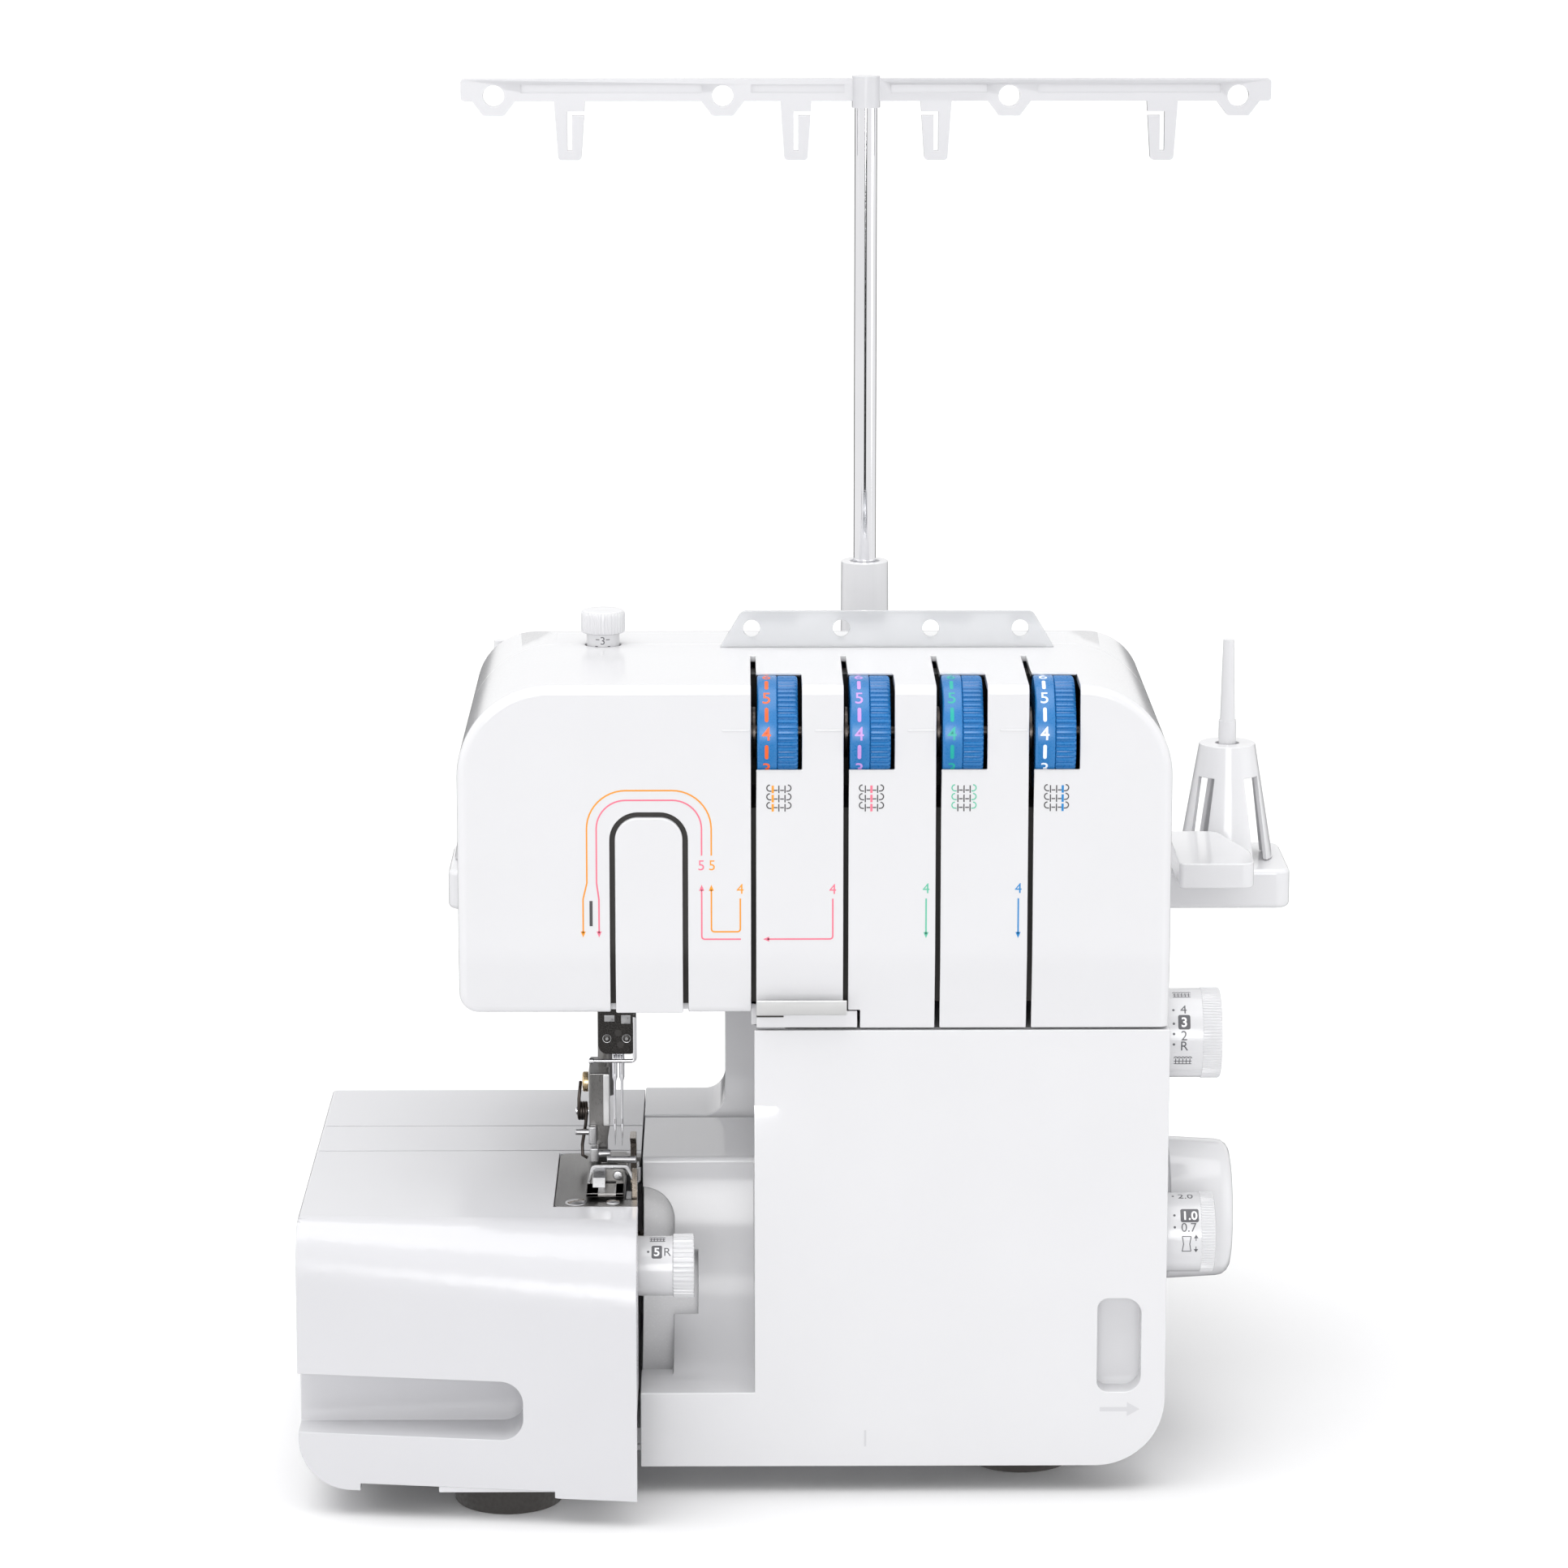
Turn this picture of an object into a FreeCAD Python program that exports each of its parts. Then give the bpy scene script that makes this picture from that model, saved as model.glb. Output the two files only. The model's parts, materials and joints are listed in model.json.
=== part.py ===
import FreeCAD, Part
import math
import os

V = FreeCAD.Vector

# Four-thread overlock sewing machine, millimetres.  +X runs to the handwheel side,
# +Y to the back, +Z up.  The origin is on the table under the middle of the machine.

# ---- casings -------------------------------------------------------------------
FLOOR = 10.0            # underside of the casings, on top of the feet
BED_TOP = 107.0
HEAD_BOTTOM = 179.0
HEAD_TOP = 297.5
HEAD_LEFT = -128.0
HEAD_RIGHT = 123.6
HEAD_FRONT = -107.0
HEAD_SEAM = -23.5       # where the front and rear head casings meet
HEAD_CORNER = 33.0
HEAD_EDGE = 3.2         # rounding of the front rim
BODY_REAR = 65.0
COLUMN_LEFT = -34.2
COLUMN_FRONT = 24.8
TOWER_LEFT = -12.5
TOWER_CORNER = 25.0
DECK = 172.4            # top of the tower, where the front cover ends
REAR_ROUND = 68.0
REAR_RISE = 0.06        # the rear round's crest stands this far above the flat top, which trims it
WALL = 2.5

# ---- front cover ---------------------------------------------------------------
COVER_FRONT = -103.0
COVER_BACK = -100.0
COVER_LEFT = -64.6
COVER_RIGHT = 124.2
PANEL_LEFT = -23.5
CHUTE_FLOOR = 38.0
CHUTE_RADIUS = 67.0
CHUTE_CENTRE = (-103.0, 105.0)
RAIL_REAR = 21.0
HINGE_Y = -96.0
HINGE_Z = 16.0
HINGE_ROD = 2.0
RUNNING = 0.05          # radial clearance of a running fit

# ---- material plate cover at the left --------------------------------------------
BLOCK_LEFT = -186.0
BLOCK_RIGHT = -65.2
BLOCK_REAR = 62.0
BLOCK_FRONT_RIGHT = -141.0
BLOCK_FRONT_LEFT = -124.6

# ---- thread path -----------------------------------------------------------------
SLOT_FIRST = -23.7
SLOT_PITCH = 32.5
SLOT_WIDTH = 1.8
SLOT_XS = [SLOT_FIRST + SLOT_PITCH * i for i in range(4)]
TENSION_Y = -89.0
TENSION_Z = 277.6
TENSION_RADIUS = 20.0
TENSION_GAP = 0.5
ARCH_LEFT = -74.4
ARCH_RIGHT = -46.8
ARCH_TOP = 252.4

# ---- sewing mechanism --------------------------------------------------------------
NEEDLE_Y = -57.0
NEEDLE_XS = (-74.2, -71.6)
BAR_X = -73.3
PRESSER_X = -78.2
PRESSER_Y = -23.4
LOOPER_Y = -25.0
LOOPER_Z = 72.0
LOWER_LOOPER_X = -88.0
LOWER_LOOPER_Z = 62.0
PLATE_X = (-95.0, -65.4)
PLATE_Y = (-100.0, -30.0)

# ---- drive ---------------------------------------------------------------------------
SHAFT_Y = -30.0
SHAFT_Z = 86.0
MOTOR_Y = 20.0
MOTOR_Z = 52.0
PULLEY_X = (100.0, 108.0)
BIG_PULLEY = 27.0
SMALL_PULLEY = 9.0
WHEEL_X = (126.8, 152.6)
WHEEL_RADIUS = 26.3

# ---- dials at the right and on the chute ------------------------------------------------
LENGTH_Y = -60.0
LENGTH_Z = 160.4
LENGTH_RADIUS = 16.4
FEED_Y = -75.0
FEED_Z = 89.6
FEED_RADIUS = 14.6
WIDTH_Y = -88.0
WIDTH_Z = 81.2
WIDTH_RADIUS = 11.6
LEVER_X = -78.2
LEVER_Z = 205.0

# ---- spool stand -----------------------------------------------------------------------------
TRAY_X = (-142.0, 186.0)
TRAY_Y = (89.0, 141.0)
TRAY_Z = (172.0, 187.5)
PIN_Y = 115.0
PIN_COLLAR = 3.4
ANTENNA_X = 20.3
PIN_XS = [ANTENNA_X + offset for offset in (-142.4, -54.8, 54.8, 142.4)]
SOCKET_TOP = 305.5
GUIDE_BAR_Z = (483.5, 492.0)

FEET = ((-112.0, -106.0), (-112.0, 32.0), (74.0, -62.0), (74.0, 36.0))
FOOT_RADIUS = 20.5

AXES = {"x": V(1, 0, 0), "y": V(0, 1, 0), "z": V(0, 0, 1)}


# ================================ drawing helpers ================================

def at(axis, u, v, level):
    """Point (u, v) on the plane across an axis: (y, z) for x, (x, z) for y, (x, y) for z."""
    if axis == "x":
        return V(level, u, v)
    if axis == "y":
        return V(u, level, v)
    return V(u, v, level)


def outline(axis, level, corners):
    """Closed wire through (u, v, radius) corners, each rounded by its own radius."""
    ends = []
    for i, (u, v, radius) in enumerate(corners):
        here = V(u, v, 0)
        before = corners[i - 1]
        after = corners[(i + 1) % len(corners)]
        inward = (here - V(before[0], before[1], 0)).normalize()
        outward = (V(after[0], after[1], 0) - here).normalize()
        if radius == 0:
            ends.append((here, None, here))
            continue
        half = inward.getAngle(outward) / 2
        reach = radius * math.tan(half)
        middle = here + (outward - inward).normalize() * (radius / math.cos(half) - radius)
        ends.append((here - inward * reach, middle, here + outward * reach))
    edges = []
    for i, (start, middle, end) in enumerate(ends):
        if middle is not None:
            points = [at(axis, p.x, p.y, level) for p in (start, middle, end)]
            edges.append(Part.Arc(*points).toShape())
        following = ends[(i + 1) % len(ends)][0]
        if (following - end).Length > 1e-4:
            edges.append(Part.makeLine(at(axis, end.x, end.y, level), at(axis, following.x, following.y, level)))
    return Part.Wire(edges)


def prism(axis, span, corners):
    """Solid of a rounded outline, drawn across an axis and pulled along it."""
    face = Part.Face(outline(axis, span[0], corners))
    return face.extrude(AXES[axis] * (span[1] - span[0]))


def box(x, y, z):
    return Part.makeBox(x[1] - x[0], y[1] - y[0], z[1] - z[0], V(x[0], y[0], z[0]))


def rod(axis, u, v, span, radius):
    """Cylinder along an axis through (u, v)."""
    return Part.makeCylinder(radius, span[1] - span[0], at(axis, u, v, span[0]), AXES[axis])


def taper(axis, u, v, span, first, last):
    """Cone frustum along an axis through (u, v)."""
    return Part.makeCone(first, last, span[1] - span[0], at(axis, u, v, span[0]), AXES[axis])


def sleeve(axis, u, v, span, outer, inner):
    return rod(axis, u, v, span, outer).cut(rod(axis, u, v, (span[0] - 1, span[1] + 1), inner))


def join(first, *others):
    return first.fuse(list(others)).removeSplitter() if others else first


def cut(shape, *tools):
    return shape.cut(list(tools))


def bar_between(axis, span, start, end, radius):
    """Flat bar with round ends between two (u, v) points."""
    along = V(end[0] - start[0], end[1] - start[1], 0).normalize()
    across = V(-along.y, along.x, 0) * radius
    corners = [
        (start[0] + across.x, start[1] + across.y, 0),
        (end[0] + across.x, end[1] + across.y, 0),
        (end[0] - across.x, end[1] - across.y, 0),
        (start[0] - across.x, start[1] - across.y, 0),
    ]
    return join(
        prism(axis, span, corners),
        rod(axis, start[0], start[1], span, radius),
        rod(axis, end[0], end[1], span, radius),
    )


def softened(shape, radius, chosen):
    """The shape with the edges that a test picks rounded."""
    edges = [edge for edge in shape.Edges if chosen(edge)]
    return shape.makeFillet(radius, edges)


def lies_at(edge, axis, level, slack=0.01):
    """Whether an edge lies in the plane at a level across an axis."""
    bounds = edge.BoundBox
    low = getattr(bounds, axis.upper() + "Min")
    high = getattr(bounds, axis.upper() + "Max")
    return abs(low - level) < slack and abs(high - level) < slack


# ================================ casings ================================

def head_outline(inset, bottom, tower_left):
    """The head seen from the front, with its bottom edge and the tower's left edge."""
    return [
        (HEAD_LEFT + inset, HEAD_BOTTOM + inset, 7.0 - inset),
        (HEAD_LEFT + inset, HEAD_TOP - inset, HEAD_CORNER - inset),
        (HEAD_RIGHT - inset, HEAD_TOP - inset, HEAD_CORNER - inset),
        (HEAD_RIGHT - inset, bottom, 0),
        (tower_left + inset, bottom, 0),
        (tower_left + inset, HEAD_BOTTOM + inset, 0),
    ]


def head_side(inset):
    """The front half of the head seen from the right: upright face, lower edge drawn in."""
    return [
        (-102.5 + inset, 150.0, 0),
        (-102.5 + inset, DECK, 10.0),
        (HEAD_FRONT + inset, 200.0, 40.0),
        (HEAD_FRONT + inset, HEAD_TOP - inset, 0),
        (HEAD_SEAM + inset, HEAD_TOP - inset, 0),
        (HEAD_SEAM + inset, 150.0, 0),
    ]


def arch(inset):
    """The take-up cover's outline, smaller than its opening by the inset."""
    return [
        (ARCH_LEFT + inset, 150.0, 0),
        (ARCH_LEFT + inset, ARCH_TOP - inset, 10.0 - inset),
        (ARCH_RIGHT - inset, ARCH_TOP - inset, 10.0 - inset),
        (ARCH_RIGHT - inset, 150.0, 0),
    ]


def head_skin():
    """The head's front wall, curved as the casing is, all across."""
    span = (HEAD_LEFT, HEAD_RIGHT)
    return prism("x", span, head_side(0)).cut(prism("x", span, head_side(WALL)))


def on_front_rim(edge, tower_left):
    """Whether an edge of the head block belongs to the rim of its front face."""
    bounds = edge.BoundBox
    if bounds.YMax > -102.0 or bounds.ZMin < HEAD_BOTTOM - 0.1 and bounds.XMin > tower_left - 0.1:
        return False
    across = bounds.ZLength < 0.1 and bounds.ZMin > HEAD_BOTTOM + 0.1 and bounds.ZMax < HEAD_TOP - 0.1
    return not across and not lies_at(edge, "x", tower_left)


def head_front_casing():
    bottom = DECK + 0.8
    left = SLOT_XS[0] - 0.9
    outer = prism("y", (HEAD_FRONT, HEAD_SEAM), head_outline(0, bottom, left))
    outer = outer.common(prism("x", (HEAD_LEFT, HEAD_RIGHT), head_side(0)))
    outer = softened(outer, HEAD_EDGE, lambda edge: on_front_rim(edge, left))
    inner = prism("y", (HEAD_FRONT, HEAD_SEAM + 1), head_outline(WALL, bottom - 5, left))
    inner = inner.common(prism("x", (HEAD_LEFT, HEAD_RIGHT), head_side(WALL)))
    shell = cut(outer, inner)
    tools = [prism("y", (HEAD_FRONT - 1, -98.0), arch(0))]
    for x in SLOT_XS:
        groove = (x - SLOT_WIDTH / 2, x + SLOT_WIDTH / 2)
        tools.append(box(groove, (HEAD_FRONT - 1, -98.0), (bottom - 1, HEAD_TOP + 1)))
        tools.append(box(groove, (HEAD_FRONT - 1, -47.0), (HEAD_TOP - 4, HEAD_TOP + 1)))
        window = (x + 0.9, x + 17.0)
        tools.append(box(window, (HEAD_FRONT - 1, -98.0), (267.7, HEAD_TOP + 1)))
        tools.append(box(window, (HEAD_FRONT - 1, -84.0), (HEAD_TOP - 6, HEAD_TOP + 1)))
        tools.append(rod("x", TENSION_Y, TENSION_Z, window, TENSION_RADIUS + TENSION_GAP))
    tools.append(box((-88.0, -60.0), (-72.0, HEAD_SEAM + 1), (HEAD_BOTTOM - 1, HEAD_BOTTOM + 4)))
    tools.append(box((left, 14.0), (HEAD_FRONT - 1, HEAD_FRONT + 8.0), (bottom - 1, 180.0)))
    tools.append(rod("z", PRESSER_X, HEAD_SEAM, (HEAD_TOP - 5, HEAD_TOP + 1), 6.6))
    return cut(shell, *tools)


def take_up_cover():
    body = prism("y", (HEAD_FRONT - 1, -98.0), arch(1.9)).common(head_skin())
    return cut(body, box((ARCH_LEFT, ARCH_RIGHT), (HEAD_FRONT - 2, -90.0), (140.0, HEAD_BOTTOM)))


def take_up_liner():
    """Dark strip behind the arch's gap that holds the take-up cover to the head."""
    span = (ARCH_LEFT - 5.6, ARCH_RIGHT + 5.6)
    skin = prism("x", span, head_side(WALL + 0.02)).cut(prism("x", span, head_side(WALL + 1.8)))
    return skin.common(box(span, (HEAD_FRONT, -90.0), (182.2, ARCH_TOP + 5.6)))


def rear_side(inset):
    """The rear casing and the tower seen from the right."""
    return [
        (-99.8, FLOOR + inset, 0),
        (-99.8, DECK - inset, 0),
        (HEAD_SEAM + 0.2, DECK - inset, 0),
        (HEAD_SEAM + 0.2, HEAD_TOP + REAR_RISE - inset, 0),
        (BODY_REAR - inset, HEAD_TOP + REAR_RISE - inset, REAR_ROUND - inset),
        (BODY_REAR - inset, FLOOR + inset, 3.0 - min(inset, 2.0)),
    ]


def rear_fronts(inset):
    """Solids seen from the front, for the column, the head with the tower, and the tower alone."""
    right = HEAD_RIGHT - inset
    top = HEAD_TOP - inset
    low = FLOOR + inset
    corner = TOWER_CORNER - inset
    round_top = HEAD_CORNER - inset
    column = [
        (-64.9 + inset, low, 0), (-64.9 + inset, BED_TOP - inset, 0),
        (COLUMN_LEFT + inset, BED_TOP - inset, 8.0 + inset), (COLUMN_LEFT + inset, HEAD_BOTTOM + inset, 0),
        (HEAD_LEFT + inset, HEAD_BOTTOM + inset, 7.0 - inset), (HEAD_LEFT + inset, top, round_top),
        (right, top, round_top), (right, low, corner),
    ]
    middle = [
        (TOWER_LEFT + inset, low, 0), (TOWER_LEFT + inset, HEAD_BOTTOM + inset, 0),
        (HEAD_LEFT + inset, HEAD_BOTTOM + inset, 7.0 - inset), (HEAD_LEFT + inset, top, round_top),
        (right, top, round_top), (right, low, corner),
    ]
    tower = [
        (TOWER_LEFT + inset, low, 0), (TOWER_LEFT + inset, DECK - inset, 0),
        (right, DECK - inset, 0), (right, low, corner),
    ]
    return join(
        prism("y", (COLUMN_FRONT + inset, BODY_REAR), column),
        prism("y", (HEAD_SEAM, COLUMN_FRONT + inset), middle),
        prism("y", (-101.0, HEAD_SEAM), tower),
    )


def rear_casing():
    outer = rear_fronts(0).common(prism("x", (-200.0, 200.0), rear_side(0)))
    open_front = join(
        prism("x", (-200.0, 200.0), rear_side(WALL)),
        box((-200.0, 200.0), (-105.0, -99.0), (FLOOR + WALL, DECK - WALL)),
        box((-200.0, 200.0), (HEAD_SEAM - 1, HEAD_SEAM + 4), (DECK - WALL, HEAD_TOP - WALL)),
    )
    shell = outer.cut(rear_fronts(WALL).common(open_front))
    tools = [
        box((-66.0, 97.0), (-87.0, 58.8), (0.0, 18.4)),
        box((-66.0, 125.0), (-101.0, -87.0), (0.0, 21.0)),
        box((-88.0, -60.0), (HEAD_SEAM - 1, -12.0), (HEAD_BOTTOM - 1, HEAD_BOTTOM + 4)),
        rod("z", PRESSER_X, HEAD_SEAM, (HEAD_TOP - 5, HEAD_TOP + 1), 6.6),
        rod("y", LEVER_X, LEVER_Z, (60.0, 66.0), 4.4),
        rod("x", LOOPER_Y, LOOPER_Z, (-14.0, -8.0), 5.0),
        rod("x", SHAFT_Y, SHAFT_Z, (118.0, 126.0), 8.0),
        rod("x", LENGTH_Y, LENGTH_Z, (118.0, 126.0), 4.4),
        rod("x", FEED_Y, FEED_Z, (118.0, 126.0), 4.4),
        box((118.0, 126.0), (35.6, 59.4), (62.2, 77.8)),
        box((118.0, 126.0), (33.8, 61.0), (36.2, 55.8)),
    ]
    return cut(shell, *tools)


def bottom_pan():
    plate = box((-152.0, 96.6), (-84.0, 58.4), (FLOOR, FLOOR + 2.3))
    pad = box((-136.0, -88.0), (-130.0, -83.0), (FLOOR, FLOOR + 2.3))
    return join(plate, pad)


def rubber_feet():
    feet = []
    for x, y in FEET:
        feet.append(taper("z", x, y, (0.0, FLOOR), FOOT_RADIUS - 1.2, FOOT_RADIUS))
    return feet


def base_frame():
    level = FLOOR + 2.3
    plate = box((-150.0, 95.0), (-83.0, 56.0), (level, 18.3))
    pad = box((-134.0, -90.0), (-128.0, -82.0), (level, 18.3))
    ears = []
    for x in (-18.0, 70.0):
        span = (x, x + 6.0)
        ears.append(rod("x", HINGE_Y, HINGE_Z, span, 3.4))
        ears.append(box(span, (HINGE_Y, -82.0), (HINGE_Z - 2.4, HINGE_Z + 2.3)))
    posts = [
        prism("x", (-3.0, 4.0), [(-52.0, 18.0, 0), (-44.0, 104.0, 8.0), (-16.0, 104.0, 8.0), (-8.0, 18.0, 0)]),
        prism("x", (86.0, 93.0), [(-52.0, 18.0, 0), (-44.0, 104.0, 8.0), (-16.0, 104.0, 8.0), (-8.0, 18.0, 0)]),
        box((-150.0, -72.0), (-60.0, 50.0), (18.0, 30.0)),
        box((4.0, 82.0), (45.0, 56.0), (18.0, 36.0)),
    ]
    frame = join(plate, pad, *ears, *posts)
    return cut(
        frame,
        rod("x", HINGE_Y, HINGE_Z, (-60.0, 120.0), HINGE_ROD + RUNNING),
        rod("x", SHAFT_Y, SHAFT_Z, (-10.0, 100.0), 7.0),
    )


def arm_casting():
    """Cast column and head arm that carries the needle bar and presser bar guides."""
    column = box((8.0, 78.0), (46.0, 56.0), (36.0, 240.0))
    arm = box((-110.0, 78.0), (20.0, 46.0), (214.0, 270.0))
    window = box((-96.0, 60.0), (19.0, 47.0), (232.0, 262.0))
    guides = [
        box((-92.0, -62.0), (-66.0, 21.0), (226.0, 234.0)),
        box((-92.0, -62.0), (-66.0, 21.0), (262.0, 270.0)),
    ]
    casting = cut(join(column, arm), window)
    casting = join(casting, *guides)
    return cut(
        casting,
        rod("z", BAR_X, NEEDLE_Y, (200.0, 290.0), 3.2 + RUNNING),
        rod("z", PRESSER_X, PRESSER_Y, (200.0, 290.0), 3.0 + RUNNING),
    )


# ================================ front cover ================================

def chute_section(inset):
    """Side view of the chute skin: a hollow quarter round that runs up into a flat rail."""
    y, z = CHUTE_CENTRE
    radius = CHUTE_RADIUS + inset
    diagonal = radius * math.sqrt(0.5)
    start = V(0, y, z - radius)
    middle = V(0, y + diagonal, z - diagonal)
    return start, middle, V(0, y + radius, z)


def chute_skin(span, thickness):
    """The chute and its rail, the given thickness, between two X levels."""
    inner = chute_section(0)
    outer = chute_section(thickness)
    rail_low = BED_TOP - thickness
    top_start = V(0, inner[2].y + 2.0, BED_TOP)
    edges = [
        Part.Arc(inner[0], inner[1], inner[2]).toShape(),
        Part.Arc(inner[2], inner[2] + V(0, 0.6, 1.4), top_start).toShape(),
        Part.makeLine(top_start, V(0, RAIL_REAR, BED_TOP)),
        Part.makeLine(V(0, RAIL_REAR, BED_TOP), V(0, RAIL_REAR, rail_low)),
        Part.makeLine(V(0, RAIL_REAR, rail_low), V(0, outer[2].y, rail_low)),
        Part.makeLine(V(0, outer[2].y, rail_low), outer[2]),
        Part.Arc(outer[2], outer[1], outer[0]).toShape(),
        Part.makeLine(outer[0], inner[0]),
    ]
    face = Part.Face(Part.Wire(edges))
    face.translate(V(span[0], 0, 0))
    return face.extrude(V(span[1] - span[0], 0, 0))


def front_cover():
    span = (COVER_LEFT, PANEL_LEFT + 2.3)
    panel = prism("y", (COVER_FRONT, COVER_BACK), [
        (COVER_LEFT, FLOOR + 0.2, 0), (COVER_LEFT, CHUTE_FLOOR, 0), (PANEL_LEFT, CHUTE_FLOOR, 0),
        (PANEL_LEFT, DECK, 0), (COVER_RIGHT, DECK, 0), (COVER_RIGHT, FLOOR + 0.2, TOWER_CORNER),
    ])
    y, z = CHUTE_CENTRE
    cheek = rod("x", y, z, (PANEL_LEFT, PANEL_LEFT + 2.3), CHUTE_RADIUS + 1.0)
    cheek = cheek.common(box((-30.0, 0.0), (COVER_FRONT, 0.0), (30.0, 105.0)))
    finger_well = box((97.2, 117.6), (COVER_BACK - 0.5, -91.5), (35.8, 75.2))
    knuckles = []
    for x in (-44.0, 50.0):
        ring = (x, x + 9.0)
        knuckles.append(rod("x", HINGE_Y, HINGE_Z, ring, 3.5))
        knuckles.append(box(ring, (COVER_BACK - 0.5, HINGE_Y), (HINGE_Z - 2.5, HINGE_Z + 3.5)))
    cover = join(panel, chute_skin(span, 2.4), cheek, finger_well, *knuckles)
    pocket = prism("y", (COVER_FRONT - 1, -20.0), [
        (COVER_LEFT - 1, 39.6, 0), (COVER_LEFT - 1, 96.0, 0), (-53.0, 96.0, 12.0), (-53.0, 39.6, 0)])
    reach = math.hypot(WIDTH_Y - HINGE_Y, WIDTH_Z - HINGE_Z)
    swing = sleeve("x", HINGE_Y, HINGE_Z, (COVER_LEFT - 1, -44.2), reach + 12.6, reach - 12.6)
    swing = swing.common(box((-70.0, -40.0), (WIDTH_Y, 0.0), (40.0, 100.0)))
    finger = prism("y", (COVER_FRONT - 1, -93.5), [
        (99.6, 38.0, 4.0), (99.6, 73.0, 4.0), (115.4, 73.0, 6.0), (115.4, 38.0, 6.0)])
    return cut(cover, pocket, swing, finger, rod("x", HINGE_Y, HINGE_Z, (-60.0, 120.0), HINGE_ROD + RUNNING))


def cover_hinge_rod():
    return rod("x", HINGE_Y, HINGE_Z, (-50.0, 92.0), HINGE_ROD)


def looper_liner():
    """Inner wall behind the front cover, curved behind the chute and flat in the tower."""
    y, z = CHUTE_CENTRE
    curved = sleeve("x", y, z, (-64.4, TOWER_LEFT - 0.2), 76.5, 74.5)
    curved = curved.common(box((-70.0, 0.0), (-90.0, 0.0), (20.0, 102.0)))
    flat = box((TOWER_LEFT + WALL + 0.3, 85.0), (-68.0, -66.0), (22.0, 166.0))
    return curved, flat


# ================================ left cover and bed ================================

def block_profile(x, front, fillet_z, fillet_y, inset):
    """Side view of the left cover at one X: square at the back, a long round at the top front."""
    front = front + inset
    top = BED_TOP - inset
    rear = BLOCK_REAR - inset
    rise = top - (fillet_z - inset)
    run = (fillet_y + inset * 0.5) - front
    start = V(x, front, top - rise)
    end = V(x, front + run, top)
    bend = Part.BezierCurve()
    bend.setPoles([start, start + V(0, 0, 0.55 * rise), end - V(0, 0.55 * run, 0), end])
    low_front = V(x, front, FLOOR)
    low_rear = V(x, rear, FLOOR)
    top_rear = V(x, rear, top)
    return Part.Wire([
        Part.makeLine(low_front, start), bend.toShape(), Part.makeLine(end, top_rear),
        Part.makeLine(top_rear, low_rear), Part.makeLine(low_rear, low_front),
    ])


def block_solid(inset, right):
    slope = (BLOCK_FRONT_RIGHT - BLOCK_FRONT_LEFT) / (BLOCK_RIGHT - BLOCK_LEFT)
    left_x = BLOCK_LEFT + inset
    left = block_profile(left_x, BLOCK_FRONT_LEFT + slope * inset, 86.0, -110.0, inset)
    end = block_profile(right, BLOCK_FRONT_RIGHT + slope * (right - BLOCK_RIGHT), 78.0, -116.0, inset)
    return Part.makeLoft([left, end], True, True)


def material_plate_cover():
    outer = block_solid(0, BLOCK_RIGHT).common(prism("y", (-150.0, 70.0), [
        (BLOCK_LEFT, FLOOR, 18.0), (BLOCK_LEFT, BED_TOP, 1.5), (BLOCK_RIGHT, BED_TOP, 0), (BLOCK_RIGHT, FLOOR, 0)]))
    inner = block_solid(WALL, BLOCK_RIGHT).common(prism("y", (-150.0, 70.0), [
        (BLOCK_LEFT + WALL, FLOOR + WALL, 15.5), (BLOCK_LEFT + WALL, BED_TOP - WALL, 0),
        (BLOCK_RIGHT, BED_TOP - WALL, 0), (BLOCK_RIGHT, FLOOR + WALL, 0)]))
    grip = [(-200.0, 31.0, 0), (-200.0, 52.5, 0), (-105.6, 52.5, 8.0), (-105.6, 31.0, 8.0)]
    well = box((BLOCK_LEFT + 1, -103.0), (-136.0, -109.0), (28.6, 54.9)).common(block_solid(1.0, BLOCK_RIGHT))
    cover = join(cut(outer, inner), well)
    tools = [
        prism("y", (-150.0, -111.6), grip),
        box((-164.0, BLOCK_RIGHT + 1), (-137.0, BLOCK_REAR - WALL), (0.0, FLOOR + WALL + 0.1)),
        box((PLATE_X[0] - 0.4, BLOCK_RIGHT + 1), (PLATE_Y[0] - 0.4, PLATE_Y[1] + 0.4), (100.0, BED_TOP + 1)),
    ]
    for y in (9.2, -25.6):
        tools.append(box((BLOCK_LEFT - 1, BLOCK_RIGHT + 1), (y - 0.35, y + 0.35), (BED_TOP - 0.4, BED_TOP + 1)))
    return cut(cover, *tools)


def free_arm():
    shell = box((-158.0, -66.4), (-70.0, 56.0), (30.0, 103.0))
    hollow = box((-155.0, -60.0), (-67.0, 53.0), (33.0, 100.0))
    seat = box((-94.6, -65.8), (-99.6, -30.4), (103.0, 105.4))
    lip = box((-94.6, -84.4), (-99.6, -70.0), (96.0, 103.0))
    bracket = box((-80.0, -77.0), (-99.5, -68.0), (66.0, 103.0))
    hanger = box((-84.4, -65.8), (-99.6, -94.0), (98.0, 103.0))
    arm = join(cut(shell, hollow), seat, lip, bracket, hanger)
    return cut(
        arm,
        box((-84.4, -60.0), (-93.0, -34.0), (94.0, 106.0)),
        rod("x", WIDTH_Y, WIDTH_Z, (-82.0, -70.0), 3.0 + RUNNING),
    )


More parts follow.
